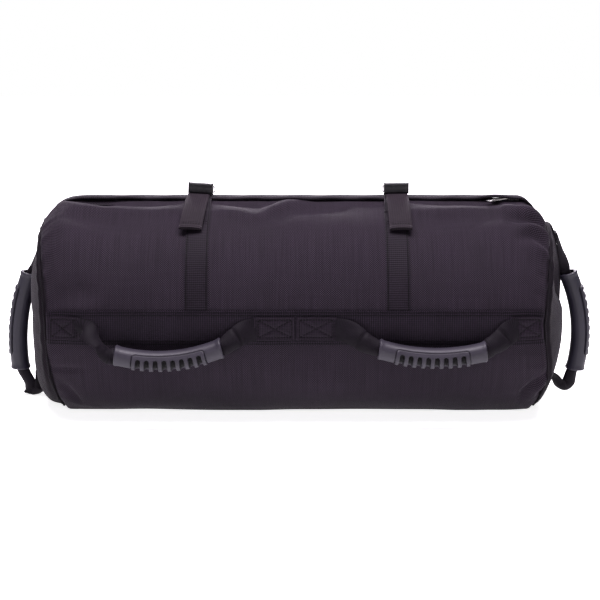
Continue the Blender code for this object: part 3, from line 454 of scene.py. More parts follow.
def sewn(name, runs, body, pitch=0.0032, long=0.0025, radius=0.00034):
    """Stitches along runs of (points, normals): short twisted threads that dip into the cloth at each end."""
    shape_a = np.linspace(0, 2 * math.pi, 5, endpoint=False)
    rings = [(-0.42, 0.62, -0.35), (0.0, 1.0, 0.25), (0.42, 0.62, -0.35)]
    local = [(-0.5, 0.0, -1.1)]
    for t, r, lift in rings:
        local += [(t, r * math.cos(a), r * math.sin(a) + lift) for a in shape_a]
    local.append((0.5, 0.0, -1.1))
    local = np.array(local)
    faces = [(0, 1 + i, 1 + (i + 1) % 5) for i in range(5)]
    for k in range(2):
        o = 1 + 5 * k
        faces += [(o + i, o + 5 + i, o + 5 + (i + 1) % 5, o + (i + 1) % 5) for i in range(5)]
    faces += [(16, 11 + (i + 1) % 5, 11 + i) for i in range(5)]
    points, all_faces, uvs, count = [], [], [], 0
    for P, N in runs:
        P, N = np.asarray(P, float), np.asarray(N, float)
        step = np.concatenate([[0], np.cumsum(np.linalg.norm(np.diff(P, axis=0), axis=1))])
        number = max(1, int(step[-1] / pitch))
        at = (np.arange(number) + 0.5) * step[-1] / number
        put = np.stack([np.interp(at, step, P[:, k]) for k in range(3)], -1)
        ahead = np.stack([np.interp(at + 0.0006, step, P[:, k]) - np.interp(at - 0.0006, step, P[:, k]) for k in range(3)], -1)
        ahead /= np.linalg.norm(ahead, axis=1, keepdims=True) + 1e-12
        up = np.stack([np.interp(at, step, N[:, k]) for k in range(3)], -1)
        side = np.cross(up, ahead)
        side /= np.linalg.norm(side, axis=1, keepdims=True) + 1e-12
        up = np.cross(ahead, side)
        for i in range(number):
            pts = put[i] + local[:, :1] * long * ahead[i] + local[:, 1:2] * radius * side[i] + local[:, 2:] * radius * up[i]
            points.append(pts)
            uvs.append(np.stack([local[:, 1] * radius, local[:, 0] * long + at[i]], -1))
            all_faces += [tuple(count + j for j in f) for f in faces]
            count += len(local)
    obj = solid(name, np.concatenate(points), all_faces, MAT["thread"], np.concatenate(uvs), sharp=0, closed=True)
    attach(obj, body)
    return obj


# ------------------------------------------------------------------ the bag's skin
def ramp(u):
    u = np.clip(u, 0, 1)
    return 0.5 * u * u * (3 - 2 * u) + 0.5 * u**1.5


def smooth(u):
    u = np.clip(u, 0, 1)
    return u * u * (3 - 2 * u)


_phi = np.linspace(0, 180, 3601)
_t = np.radians(np.clip(_phi - 90, 0, 90))
_y = np.where(_phi <= 90, HALF_WIDTH * np.sin(np.radians(_phi)), HALF_WIDTH * np.clip(np.cos(_t), 0, 1) ** (2 / SAG_POWER))
_z = np.where(_phi <= 90, MID_Z + TOP_RISE * np.cos(np.radians(_phi)), MID_Z - SAG_DROP * np.sin(_t) ** (2 / SAG_POWER))
_z = np.maximum(_z, 0.0)
_s = np.concatenate([[0], np.cumsum(np.hypot(np.diff(_y), np.diff(_z)))])
HALF_ROUND = float(_s[-1])


def s_at_z(z):
    return np.interp(-np.asarray(z, float), -_z, _s)


def s_at_y(y):
    """On the top half."""
    top = _phi <= 90
    return np.interp(np.abs(y), _y[top], _s[top])


# how far each end seam leans along x, from the top round to the middle of the base
LEAN_PHI = [0, 20, 43, 58, 71, 90, 107, 118, 131, 150, 180]
LEAN_LEFT = [-0.0125, -0.0120, -0.0080, -0.0045, 0.0, 0.0022, 0.0030, 0.0040, 0.0072, 0.0105, 0.0110]
LEAN_RIGHT = [0.0068, 0.0068, 0.0046, 0.0020, -0.0015, -0.0052, -0.0002, 0.0022, -0.0020, -0.0055, -0.0060]


def lean(x, s):
    phi = np.interp(np.abs(s), _s, _phi)
    share = np.where(s > 0, 1.0, 0.75)
    left = np.interp(phi, LEAN_PHI, LEAN_LEFT) * share * (1 - smooth((x - SEAM_LEFT) / 0.075))
    right = np.interp(phi, LEAN_PHI, LEAN_RIGHT) * share * (1 - smooth((SEAM_RIGHT - x) / 0.075))
    return left + right


def plain(x, s):
    """The skin before its folds. s runs from the top, down the front if positive, down the back if negative."""
    x, s = np.broadcast_arrays(np.asarray(x, float), np.asarray(s, float))
    y = -np.sign(s) * np.interp(np.abs(s), _s, _y)
    z = np.interp(np.abs(s), _s, _z)
    d = np.maximum(np.minimum(x - SEAM_LEFT, SEAM_RIGHT - x), 0.0)
    y = y * (1 - SIDE_PULL * ramp(1 - d / SIDE_RAMP) / HALF_WIDTH)
    high = MID_Z + (z - MID_Z) * (1 - TOP_DROP * np.clip(1 - d / TOP_RAMP, 0, 1) ** 1.8 / TOP_RISE)
    low = MID_Z - (MID_Z - z) * (1 - BASE_LIFT * ramp(1 - d / BASE_RAMP) / MID_Z)
    z = np.where(z > MID_Z, high, low)
    return np.stack([x + lean(x, s), y, z], -1)


def facing(make, x, s, e=0.0006):
    """Outward normal of a surface made by make(x, s)."""
    x, s = np.broadcast_arrays(np.asarray(x, float), np.asarray(s, float))
    lo, hi = np.maximum(x - e, SEAM_LEFT), np.minimum(x + e, SEAM_RIGHT)
    dx = make(hi, s) - make(lo, s)
    # s jumps from front to back under the base, so the step stays on one side of it
    a, b = np.clip(s - e, -HALF_ROUND, HALF_ROUND), np.clip(s + e, -HALF_ROUND, HALF_ROUND)
    ds = make(x, b) - make(x, a)
    n = np.cross(ds, dx)
    n /= np.linalg.norm(n, axis=-1, keepdims=True) + 1e-15
    return n


def seen(px, py):
    """The skin's (x, s) behind a place in the 600 by 600 picture, on the front."""
    up = 0.974 * _z - 0.225 * _y
    scale = 0.001142 * (1.86 - 0.974 * _y - 0.225 * (_z - 0.11)) / 1.86
    row = 302.5 - (up - 0.1066) / scale
    front = _phi <= 150
    s = float(np.interp(py, row[front], _s[front]))
    k = float(np.interp(py, row[front], scale[front]))
    return (px - 300) * k, s


def spot(px, py, y):
    """A point at depth y seen at a place in the 600 by 600 picture."""
    z = 0.09
    for _ in range(4):
        scale = 0.001142 * (1.86 + 0.974 * y - 0.225 * (z - 0.11)) / 1.86
        z = (0.1066 + (302.5 - py) * scale - 0.225 * y) / 0.974
    return (px - 300) * scale, y, z


SEAM_SUNK = 0.0022  # the cloth dives into the seams at both ends
FOLDS = []


def fold(points, height, width, lean_to=0.0, ends=0.7):
    """A fold along a line of picture places: height at its middle, width across, lean_to -1..1 for a step."""
    FOLDS.append((np.array([seen(*p) for p in points]), height, width, lean_to, ends))


# shoulders, dents and creases, in the order top left to bottom right
fold([(60, 200), (68, 200.5), (84, 204), (104, 207.5), (124, 209.5)], 0.0027, 0.0090, 0, 0.3)
fold([(76, 200.5), (96, 202), (116, 204)], -0.0046, 0.0095, 0, 0.4)
fold([(120, 203), (150, 203.5), (182, 202.5)], -0.0026, 0.0100, 0, 0.4)
fold([(120, 209.5), (150, 210.5), (180, 209)], 0.0024, 0.0090, 0, 0.5)
fold([(70, 213), (96, 218), (124, 226)], -0.0034, 0.0120)
fold([(214, 202), (236, 204), (258, 205), (274, 202)], -0.0036, 0.0095, 0, 0.4)
fold([(216, 211), (238, 213), (258, 217)], 0.0028, 0.0100)
fold([(254, 219), (264, 213), (276, 207), (288, 203), (306, 201.5)], 0.0030, 0.0085, 0, 0.5)
fold([(272, 218), (290, 210), (318, 207), (350, 208)], -0.0040, 0.0110, 0, 0.5)
fold([(300, 203), (330, 203.5), (374, 202.5)], -0.0012, 0.0090, 0, 0.4)
fold([(412, 202), (440, 203), (474, 203), (502, 202)], -0.0032, 0.0090, 0, 0.4)
fold([(414, 210), (446, 211), (488, 208.5)], 0.0026, 0.0090)
fold([(420, 219), (456, 219), (500, 217)], -0.0030, 0.0120)
fold([(498, 207), (514, 210), (526, 209), (538, 205)], 0.0054, 0.0090, 0, 0.4)
fold([(504, 216), (522, 219), (541, 214)], -0.0070, 0.0095, 0, 0.5)
fold([(514, 229), (530, 226), (544, 222)], 0.0046, 0.0075)
fold([(516, 238), (532, 235), (547, 236)], -0.0042, 0.0075)
fold([(528, 246), (540, 244), (549, 247)], 0.0022, 0.0060)
fold([(54, 318), (60, 300), (76, 290), (96, 298)], -0.0044, 0.0130)
fold([(104, 296), (92, 308), (74, 314)], 0.0022, 0.0090)
fold([(46, 371), (60, 372), (84, 371)], -0.0026, 0.0045, 0.4)
fold([(50, 382), (62, 392), (76, 404)], -0.0032, 0.0060, 0.4)
fold([(56, 398), (78, 404), (104, 408)], 0.0010, 0.0080)
fold([(537, 270), (546, 273)], -0.0016, 0.0045)
fold([(534, 292), (546, 294)], -0.0014, 0.0045)
fold([(538, 281), (547, 284)], 0.0010, 0.0040)
fold([(548, 376), (534, 382), (524, 392), (523, 402)], -0.0040, 0.0050, 0.7)
fold([(552, 384), (541, 389), (533, 398)], 0.0026, 0.0060)
fold([(546, 392), (540, 400)], -0.0022, 0.0045)
fold([(150, 250), (240, 262), (330, 254)], 0.0010, 0.030)
fold([(130, 290), (230, 300), (350, 292)], -0.0009, 0.026)
fold([(230, 392), (320, 398), (420, 392)], -0.0010, 0.020)
fold([(420, 262), (470, 250), (520, 256)], 0.0010, 0.026)


def waves(x, s):
    """Slow unevenness of the fill, and small puckers along both end seams."""
    made = np.zeros(np.broadcast(x, s).shape)
    rng = np.random.default_rng(11)
    for _ in range(16):
        length = rng.uniform(0.05, 0.16)
        turn = rng.uniform(0, math.pi)
        kx, ks = math.cos(turn) * 2 * math.pi / length, math.sin(turn) * 2 * math.pi / length
        made = made + np.cos(kx * x + ks * s + rng.uniform(0, 6.28)) * 0.00030 * (length / 0.1)
    rng = np.random.default_rng(23)
    for side, d in ((0, x - SEAM_LEFT), (1, SEAM_RIGHT - x)):
        for _ in range(9):
            length = rng.uniform(0.012, 0.034)
            slant = rng.uniform(-0.5, 0.5)
            reach = rng.uniform(0.008, 0.024)
            start = rng.uniform(0, 6.28)
            made = made + np.cos((s + slant * d) * 2 * math.pi / length + start) * 0.00024 * np.exp(-np.maximum(d, 0) / reach) * smooth(d / 0.004)
    return made


def folds(x, s):
    x, s = np.broadcast_arrays(np.asarray(x, float), np.asarray(s, float))
    made = waves(x, s)
    for line, height, width, lean_to, ends in FOLDS:
        near = (x > line[:, 0].min() - 3 * width) & (x < line[:, 0].max() + 3 * width) & (s > line[:, 1].min() - 3 * width) & (s < line[:, 1].max() + 3 * width)
        if not near.any():
            continue
        px, ps = x[near], s[near]
        best, side, along = np.full(px.shape, 1e9), np.zeros(px.shape), np.zeros(px.shape)
        total = np.linalg.norm(np.diff(line, axis=0), axis=1).sum()
        gone = 0.0
        for a, b in zip(line, line[1:]):
            d = b - a
            size = np.linalg.norm(d)
            t = np.clip(((px - a[0]) * d[0] + (ps - a[1]) * d[1]) / size**2, 0, 1)
            ox, os_ = px - a[0] - t * d[0], ps - a[1] - t * d[1]
            far = np.hypot(ox, os_)
            closer = far < best
            best = np.where(closer, far, best)
            side = np.where(closer, np.sign(ox * d[1] - os_ * d[0]), side)
            along = np.where(closer, (gone + t * size) / total, along)
            gone += size
        q = best * side / width
        shape = np.exp(-q * q) + lean_to * q * np.exp(-q * q) * 1.2
        made_here = height * shape * (0.25 + 0.75 * np.sin(math.pi * np.clip(along, 0, 1)) ** ends)
        made = made.copy()
        made[near] += made_here
    # flat where it lies on the floor, and quiet under the flap
    calm = smooth((np.abs(s) - 0.0090) / 0.0085) * smooth((HALF_ROUND - np.abs(s) - 0.045) / 0.03)
    return made * calm


def wrap_at(x, s, out=0.0):
    """A point out metres off the finished skin."""
    base = plain(x, s)
    n = facing(plain, x, s)
    d = np.maximum(np.minimum(np.asarray(x, float) - SEAM_LEFT, SEAM_RIGHT - x), 0.0)
    sunk = SEAM_SUNK * (1 - smooth(d / 0.0045))
    return base + n * (folds(x, s) + out - sunk)[..., None]


def wrap_facing(x, s):
    return facing(lambda a, b: wrap_at(a, b), x, s, 0.0010)


def make_wrap():
    slot = 0.0078
    xs = np.unique(np.round(np.concatenate([
        np.linspace(SEAM_LEFT, SEAM_LEFT + 0.03, 22), np.linspace(SEAM_LEFT + 0.03, SEAM_RIGHT - 0.03, 170),
        np.linspace(SEAM_RIGHT - 0.03, SEAM_RIGHT, 22)]), 6))
    # the slit for the zip closes at both ends
    gap = slot * smooth(np.minimum(xs + 0.2600, 0.2562 - xs) / 0.004)[:, None] + 0.00003
    X, share = np.meshgrid(xs, np.linspace(0, 1, 300), indexing="ij")
    W = gap + (2 * HALF_ROUND - 2 * gap) * share
    S = np.where(W <= HALF_ROUND, W, W - 2 * HALF_ROUND)
    P = wrap_at(X, S)
    P[..., 2] = np.maximum(P[..., 2], 0.0002)
    obj = solid("bag_wrap", P, quads(len(xs), 300, flip=False), MAT["nylon"], np.stack([X, W], -1), sharp=0)
    thick = obj.modifiers.new("cloth", "SOLIDIFY")
    thick.thickness, thick.offset = 0.0018, -1.0
    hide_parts("body_wrap")
    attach(obj, "bag")
    return obj


# ------------------------------------------------------------------ end panels and piping
# each panel's bulge round its rim, from the top to the base: how high, and how steeply it leaves the seam
PANEL_PHI = [0, 45, 90, 135, 180]
PANEL_HIGH = {-1: [1.15, 1.09, 1.04, 1.01, 1.20], 1: [1.06, 0.41, 0.97, 1.20, 0.93]}
PANEL_STEEP = {-1: [2.63, 2.98, 2.18, 3.17, 5.10], 1: [2.56, 1.25, 2.26, 1.25, 1.63]}
PANEL_LEAN = {-1: 14.0, 1: 2.2}


def rim(side, count):
    w = np.linspace(0, 2 * HALF_ROUND, count, endpoint=False)
    s = np.where(w <= HALF_ROUND, w, w - 2 * HALF_ROUND)
    x = np.full(count, SEAM_LEFT if side < 0 else SEAM_RIGHT)
    return plain(x, s + 1e-9), s, w


def panel_x(side, k, seam_x, phi, w):
    """How far along x an end panel lies: k from rim 1 to centre 0, on the spoke whose seam is at seam_x."""
    seam, dome = (SEAM_LEFT, DOME_LEFT) if side < 0 else (SEAM_RIGHT, DOME_RIGHT)
    high, steep = np.interp(phi, PANEL_PHI, PANEL_HIGH[side]), np.interp(phi, PANEL_PHI, PANEL_STEEP[side])
    bulge = dome * np.clip(1 - k**steep, 0, 1) ** 0.9 * (1 + (high - 1) * smooth(k / 0.55))
    set_out = 0.0030 * (1 - smooth((k - 0.97) / 0.03)) + 0.0008
    return seam + (seam_x - seam) * k ** PANEL_LEAN[side] + side * (set_out + bulge + panel_folds(side, k, w))


PANEL_WAVES = {}


def panel_folds(side, k, w):
    """Radial puckers by the rim and a few long soft folds."""
    key = side
    if key not in PANEL_WAVES:
        rng = np.random.default_rng(31 if side < 0 else 37)
        PANEL_WAVES[key] = [(rng.integers(14, 44), rng.uniform(0, 6.28), rng.uniform(0.5, 1.0), rng.uniform(0.05, 0.16)) for _ in range(7)], \
                           [(rng.integers(2, 7), rng.uniform(0, 6.28), rng.uniform(0.5, 1.0)) for _ in range(4)]
    small, big = PANEL_WAVES[key]
    angle = w / (2 * HALF_ROUND) * 2 * math.pi
    made = 0.0
    for n, start, size, reach in small:
        made = made + np.cos(n * angle + start) * 0.00028 * size * np.exp(-(1 - k) / reach) * smooth((1 - k) / 0.02)
    for n, start, size in big:
        made = made + (np.cos(n * angle + start) - 0.5) * 0.0007 * size * k * k * smooth((1 - k) / 0.10)
    return made


def make_panel(side, word):
    count = 288
    edge, s, w = rim(side, count)
    phi = np.interp(np.abs(s), _s, _phi)
    ks = np.concatenate([np.linspace(1.0, 0.95, 10), np.linspace(0.94, 0.05, 44)])
    P = np.zeros((len(ks), count, 3))
    for i, k in enumerate(ks):
        # the rim is sunk with the wrap, so that the seam is a groove between them
        tight = 1 - 0.018 * smooth((k - 0.93) / 0.07)
        P[i, :, 0] = panel_x(side, k, edge[:, 0], phi, w)
        P[i, :, 1] = edge[:, 1] * k * tight
        P[i, :, 2] = PANEL_CENTRE_Z + (edge[:, 2] - PANEL_CENTRE_Z) * k * tight
    seam, dome = (SEAM_LEFT, DOME_LEFT) if side < 0 else (SEAM_RIGHT, DOME_RIGHT)
    tip = np.array([seam + side * (0.0038 + dome), 0.0, PANEL_CENTRE_Z])
    P[..., 2] = np.maximum(P[..., 2], 0.0004)
    points = np.concatenate([P.reshape(-1, 3), tip[None]])
    faces = [tuple(f) for f in quads(len(ks), count, wrap=True, flip=side < 0)]
    last = (len(ks) - 1) * count
    for i in range(count):
        f = (last + i, last + (i + 1) % count, len(points) - 1)
        faces.append(f[::-1] if side < 0 else f)
    # the weave is measured along the cloth, out from the middle
    steps = np.linalg.norm(np.diff(P, axis=0), axis=2)
    out = np.concatenate([np.zeros((1, count)), np.cumsum(steps[::-1], axis=0)])[::-1] + np.linalg.norm(P[-1] - tip, axis=1)
    spoke = np.arctan2(edge[:, 2] - PANEL_CENTRE_Z, edge[:, 1])
    uv = np.concatenate([np.stack([out * np.cos(spoke), out * np.sin(spoke)], -1).reshape(-1, 2), [[0.0, 0.0]]])
    obj = solid(f"{word}_panel_cloth", points, faces, MAT["panel"], uv, sharp=0)
    thick = obj.modifiers.new("cloth", "SOLIDIFY")
    thick.thickness, thick.offset = 0.0015, -1.0
    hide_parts(f"{word}_end_panel")
    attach(obj, "bag")
    # piping over the seam, its cloth painted dark: painted shade for the seam's groove
    rng = np.random.default_rng(41 if side < 0 else 43)
    angle = w / (2 * HALF_ROUND) * 2 * math.pi
    wobble = sum(np.cos(n * angle + rng.uniform(0, 6.28)) * 0.00012 for n in (9, 16, 23, 31, 40))
    n = facing(plain, np.full(count, SEAM_LEFT if side < 0 else SEAM_RIGHT), s + 1e-9)
    path = edge - n * (SEAM_SUNK - 0.0006 - wobble)[:, None]
    path[:, 0] += side * 0.0006
    path[:, 2] = np.maximum(path[:, 2], 0.0020)
    cord = tube(f"{word}_piping", path, 0.0014 + wobble * 0.5, MAT["pipe"], 10, closed=True)
    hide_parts(f"{word}_end_piping")
    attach(cord, "bag")
    return obj


# ------------------------------------------------------------------ bands, straps and tabs
def on_wrap(xs, ss, out):
    P = wrap_at(xs, ss, out)
    return P, wrap_facing(xs, ss)


def make_bands():
    for side, name, node in ((1, "front_band_webbing", "front_band"), (-1, "rear_band_webbing", "back_band")):
        xs = np.linspace(SEAM_LEFT + 0.0015, SEAM_RIGHT - 0.0015, 200)
        zs = np.linspace(BAND_Z + BAND_WIDE / 2, BAND_Z - BAND_WIDE / 2, 15)
        X, Z = np.meshgrid(xs, zs, indexing="ij")
        S = side * s_at_z(Z)
        P, N = on_wrap(X, S, 0.0011)
        band = ribbon(name, P, N, 0.0015, MAT["band"], zs - BAND_Z, xs)
        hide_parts(node)
        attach(band, "bag")
        runs = []
        for off in (0.0170, 0.0140, -0.0140, -0.0170):
            sx = np.linspace(SEAM_LEFT + 0.004, SEAM_RIGHT - 0.004, 300)
            ss = np.full(300, side * float(s_at_z(BAND_Z + off)))
            runs.append((wrap_at(sx, ss, 0.00195), wrap_facing(sx, ss)))
        sewn(f"{name}_stitches", runs, "bag")


def make_sewn_straps():
    low = float(s_at_z(BAND_Z + BAND_WIDE / 2 + 0.0006))
    for side, part, end_y in ((1, "front", 0.0445), (-1, "rear", 0.0285)):
        high = float(s_at_y(end_y))
        for hand, x0 in STRAP_X.items():
            ss = np.linspace(high, low, 56)
            offs = np.linspace(-STRAP_WIDE / 2, STRAP_WIDE / 2, 11)
            S, X = np.meshgrid(side * ss, x0 + offs, indexing="ij")
            P, N = on_wrap(X, S, 0.0010)
            strap = ribbon(f"{hand}_{part}_strap_webbing", P, N, 0.0014, MAT["strap"], offs, ss)
            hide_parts(f"{hand}_{part}_strap")
            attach(strap, "bag")
            runs = []
            start = high + (0.020 if side > 0 else 0.006)
            for off in (-0.0106, 0.0106):
                rs = np.linspace(start, low - 0.001, 80)
                rx = np.full(80, x0 + off)
                runs.append((wrap_at(rx, side * rs, 0.0018), wrap_facing(rx, side * rs)))
            for at in (start, start + 0.004):
                rx = np.linspace(x0 - 0.0106, x0 + 0.0106, 12)
                rs = np.full(12, side * at)
                runs.append((wrap_at(rx, rs, 0.0018), wrap_facing(rx, rs)))
            sewn(f"{hand}_{part}_strap_stitches", runs, "bag")


TABS = {
    "left": ((-0.2710, -0.2370), (-0.0490, -0.0058)),
    "right": ((-0.0035, 0.0395), (0.2265, 0.2640)),
}


def to_segment(px, pz, a, b):
    """Distance from points to a straight stitch line."""
    dx, dz = b[0] - a[0], b[1] - a[1]
    t = np.clip(((px - a[0]) * dx + (pz - a[1]) * dz) / (dx * dx + dz * dz), 0, 1)
    return np.hypot(px - a[0] - t * dx, pz - a[1] - t * dz)


def make_tabs():
    for side, face in ((1, "front"), (-1, "rear")):
        for hand, pair in TABS.items():
            for letter, (x0, x1) in zip("ab", pair):
                inner = x1 if letter == "a" else x0
                outer = x0 if letter == "a" else x1
                way = 1 if outer < inner else -1
                a, b = outer + way * 0.0030, inner - way * 0.0045
                corners = [(a, 0.0095), (b, 0.0095), (b, -0.0095), (a, -0.0095)]
                lines = [(corners[i], corners[(i + 1) % 4]) for i in range(4)] + [(corners[0], corners[2]), (corners[1], corners[3])]
                lines.append(((b + way * 0.0022, 0.0095), (b + way * 0.0022, -0.0095)))
                xs = np.linspace(x0, x1, 72)
                zs = np.linspace(BAND_Z + 0.0125, BAND_Z - 0.0125, 45)
                X, Z = np.meshgrid(xs, zs, indexing="ij")
                puff = np.full(X.shape, 0.0007)
                for p0, p1 in lines:
                    d = to_segment(X, Z - BAND_Z, p0, p1)
                    puff = np.minimum(puff, 0.0007 * (1 - np.exp(-((d / 0.0016) ** 2))))
                P, N = on_wrap(X, side * s_at_z(Z), 0.0011 + 0.0016)
                P = P + N * puff[..., None]
                tab = ribbon(f"{face}_{hand}_tab_{letter}", P, N, 0.0015, MAT["tab"], zs - BAND_Z, xs)
                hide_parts(f"{face}_{hand}_handle_tab_{letter}")
                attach(tab, "bag")
                runs = []
                for (xa, za), (xb, zb) in lines:
                    t = np.linspace(0, 1, 24)
                    rx, rz = xa + (xb - xa) * t, BAND_Z + za + (zb - za) * t
                    rs = side * s_at_z(rz)
                    runs.append((wrap_at(rx, rs, 0.0035), wrap_facing(rx, rs)))
                sewn(f"{face}_{hand}_tab_{letter}_stitches", runs, "bag", pitch=0.0032, long=0.0026, radius=0.00048)


# ------------------------------------------------------------------ flap, zip, slider and pull
FLAP_ENDS = (-0.2620, 0.2548)


def flap_front(x):
    """How far forward the flap's free edge lies, and how high it stands off the skin."""
    waver = 0.0007 * np.sin(x * 31 + 1.0) + 0.0005 * np.sin(x * 83 + 0.4)
    end = smooth(np.minimum((x - FLAP_ENDS[0]) / 0.024, (FLAP_ENDS[1] - x) / 0.013))
    over_pull = np.exp(-(((x - 0.217) / 0.018) ** 2))
    slack = np.exp(-(((x + 0.205) / 0.030) ** 2))
    y = -0.0128 - waver - 0.0012 * (1 - end)
    rise = 0.0028 + 0.4 * waver + 0.0024 * over_pull + 0.0009 * slack
    for hand in STRAP_X:
        rise = rise - 0.0006 * np.exp(-(((x - BUCKLE_X[hand]) / 0.016) ** 2))
    return y, 0.0002 + (rise - 0.0002) * end, end


BUCKLE_X = {"left": -0.1112, "right": 0.1078}


def make_flap():
    xs = np.linspace(*FLAP_ENDS, 240)
    nb = 27
    q = np.linspace(0, 1, nb)
    front_y, front_rise, end = flap_front(xs)
    P, N, T = [], [], []
    for x, fy, fr, e in zip(xs, front_y, front_rise, end):
        y = 0.0250 + (fy - 0.0250) * q
        s = np.where(y > 0, -s_at_y(y), s_at_y(y))
        crest = 0.0004 + (0.0034 - 0.0004) * e
        out = np.where(q < 0.62, 0.0010 + (crest - 0.0010) * smooth(q / 0.62), crest + (fr - crest) * smooth((q - 0.62) / 0.38))
        base = plain(np.full(nb, x), s)
        n = facing(plain, np.full(nb, x), s)
        ripple = 0.00035 * np.sin(x * 140 + 3 * q) * q * e
        P.append(base + n * (out + ripple)[:, None])
        N.append(n)
        roll = smooth((q - 0.80) / 0.16)
        T.append(0.0008 + 0.0004 * e + (0.0031 * e + 0.0003) * roll)
    P, N, T = np.array(P), np.array(N), np.array(T)
    flap = ribbon("zip_flap_cloth", P, N, T, MAT["flap"], 0.025 - 0.040 * q, xs, taper=0.30)
    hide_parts("zip_flap")
    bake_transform(flap)
    rows = []
    for col in (22, 2):
        lift = T[8:-8, col, None] / 2 + 0.0001
        rows.append((P[8:-8, col] + N[8:-8, col] * lift, N[8:-8, col]))
    sewn("zip_flap_hem_stitches", [rows[0]], "flap", pitch=0.0034)
    sewn("zip_flap_seam_stitches", [rows[1]], "bag", pitch=0.0034)


def make_zip():
    xs = np.linspace(ZIP_LEFT, ZIP_RIGHT, 120)
    for side, word in ((1, "front"), (-1, "back")):
        offs = np.linspace(0.0030, 0.0185, 9)
        X, Y = np.meshgrid(xs, offs, indexing="ij")
        S = side * s_at_y(Y)
        P = plain(X, S)
        N = facing(plain, X, S)
        tape = ribbon(f"{word}_zip_tape_cloth", P - N * 0.0029, N, 0.0008, MAT["tape"], offs, xs)
        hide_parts(f"zip_tape_{word}")
        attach(tape, "bag")
    # a coil of plastic teeth on each side, meshed along the middle
    n = 300
    at = np.linspace(ZIP_LEFT + 0.001, ZIP_RIGHT - 0.001, n)
    points, faces, count = [], [], 0
    ring = np.linspace(0, 2 * math.pi, 6, endpoint=False)
    loop = np.array([(0.0031, -0.0003), (0.0016, 0.0006), (0.0002, 0.0008), (-0.0008, 0.0002), (0.0002, -0.0005), (0.0031, -0.0008)])
    for i, x in enumerate(at):
        z = float(plain(x, 0.0)[..., 2]) - 0.0024
        side = 1 if i % 2 else -1
        path = np.stack([np.full(len(loop), x), side * loop[:, 0], z + loop[:, 1]], -1)
        ahead = np.gradient(path, axis=0)
        ahead /= np.linalg.norm(ahead, axis=1, keepdims=True)
        a = np.array([1.0, 0, 0])
        b = np.cross(ahead, a)
        pts = path[:, None] + 0.00042 * (np.cos(ring)[None, :, None] * a + np.sin(ring)[None, :, None] * b[:, None])
        points.append(pts.reshape(-1, 3))
        faces += [tuple(f) for f in quads(len(loop), 6, wrap=True, start=count)]
        faces += [tuple(count + j for j in range(6))[::-1], tuple(count + (len(loop) - 1) * 6 + j for j in range(6))]
        count += len(loop) * 6
    chain = solid("zip_coil", np.concatenate(points), faces, MAT["coil"], closed=True)
    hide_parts("zip_chain")
    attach(chain, "bag")
    for word, x in (("left", ZIP_LEFT - 0.0016), ("right", ZIP_RIGHT + 0.0016)):
        z = float(plain(x, 0.0)[..., 2]) - 0.0024
        stop = block(f"zip_stop_{word}_clip", (x, 0, z), (0.0022, 0.0066, 0.0024), MAT["bright"], 0.0006)
        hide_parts(f"zip_stop_{word}")
        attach(stop, "bag")


def bevelled(obj, width, segments=3, angle=35):
    made = obj.modifiers.new("round", "BEVEL")
    made.width, made.segments, made.limit_method = width, segments, "ANGLE"
    made.angle_limit = math.radians(angle)
    made.harden_normals = False
    return obj


def block(name, centre, size, material, round_to, turn=None):
    """A small block with rounded edges."""
    c = np.array([(x, y, z) for x in (-0.5, 0.5) for y in (-0.5, 0.5) for z in (-0.5, 0.5)]) * np.array(size)
    if turn is not None:
        c = c @ np.array(turn).T
    faces = [(0, 1, 3, 2), (4, 6, 7, 5), (0, 4, 5, 1), (2, 3, 7, 6), (0, 2, 6, 4), (1, 5, 7, 3)]
    return bevelled(solid(name, c + np.array(centre), faces, material, closed=True), round_to)


def plate(name, outline, thick, material, round_to, place, holes=()):
    """A flat plate cut to an outline with holes, its own z across the sheet, put in place by a matrix."""
    curve = bpy.data.curves.new(name, "CURVE")
    curve.dimensions, curve.fill_mode, curve.extrude = "2D", "BOTH", thick / 2
    for loop in (outline, *holes):
        run = curve.splines.new("POLY")
        run.points.add(len(loop) - 1)
        for point, (u, v) in zip(run.points, loop):
            point.co = (u, v, 0, 1)
        run.use_cyclic_u = True
    obj = bpy.data.objects.new(name, curve)
    bpy.context.scene.collection.objects.link(obj)
    bpy.context.view_layer.update()
    mesh = bpy.data.meshes.new_from_object(obj.evaluated_get(bpy.context.evaluated_depsgraph_get()))
    bpy.data.objects.remove(obj, do_unlink=True)
    mesh.transform(place)
    bm = bmesh.new()
    bm.from_mesh(mesh)
    bmesh.ops.remove_doubles(bm, verts=bm.verts[:], dist=0.00001)
    bmesh.ops.recalc_face_normals(bm, faces=bm.faces[:])
    bm.to_mesh(mesh)
    bm.free()
    mesh.materials.clear()
    mesh.materials.append(material)
    mesh.shade_smooth()
    mesh.set_sharp_from_angle(angle=math.radians(35))
    obj = bpy.data.objects.new(name, mesh)
    bpy.context.scene.collection.objects.link(obj)
    return bevelled(obj, round_to, 2) if round_to else obj


def welded(name, pieces):
    """Several pieces as one object, for a part made in one casting or welded up."""
    bm = bmesh.new()
    deps = bpy.context.evaluated_depsgraph_get()
    material = pieces[0].data.materials[0]
    for piece in pieces:
        bpy.context.view_layer.update()
        mesh = bpy.data.meshes.new_from_object(piece.evaluated_get(deps))
        mesh.transform(piece.matrix_world)
        bm.from_mesh(mesh)
        bpy.data.meshes.remove(mesh)
    mesh = bpy.data.meshes.new(name)
    bm.to_mesh(mesh)
    bm.free()
    for piece in pieces:
        bpy.data.objects.remove(piece, do_unlink=True)
    mesh.materials.clear()
    mesh.materials.append(material)
    for face in mesh.polygons:
        face.material_index = 0
    mesh.shade_smooth()
    mesh.set_sharp_from_angle(angle=math.radians(35))
    obj = bpy.data.objects.new(name, mesh)
    bpy.context.scene.collection.objects.link(obj)
    return obj


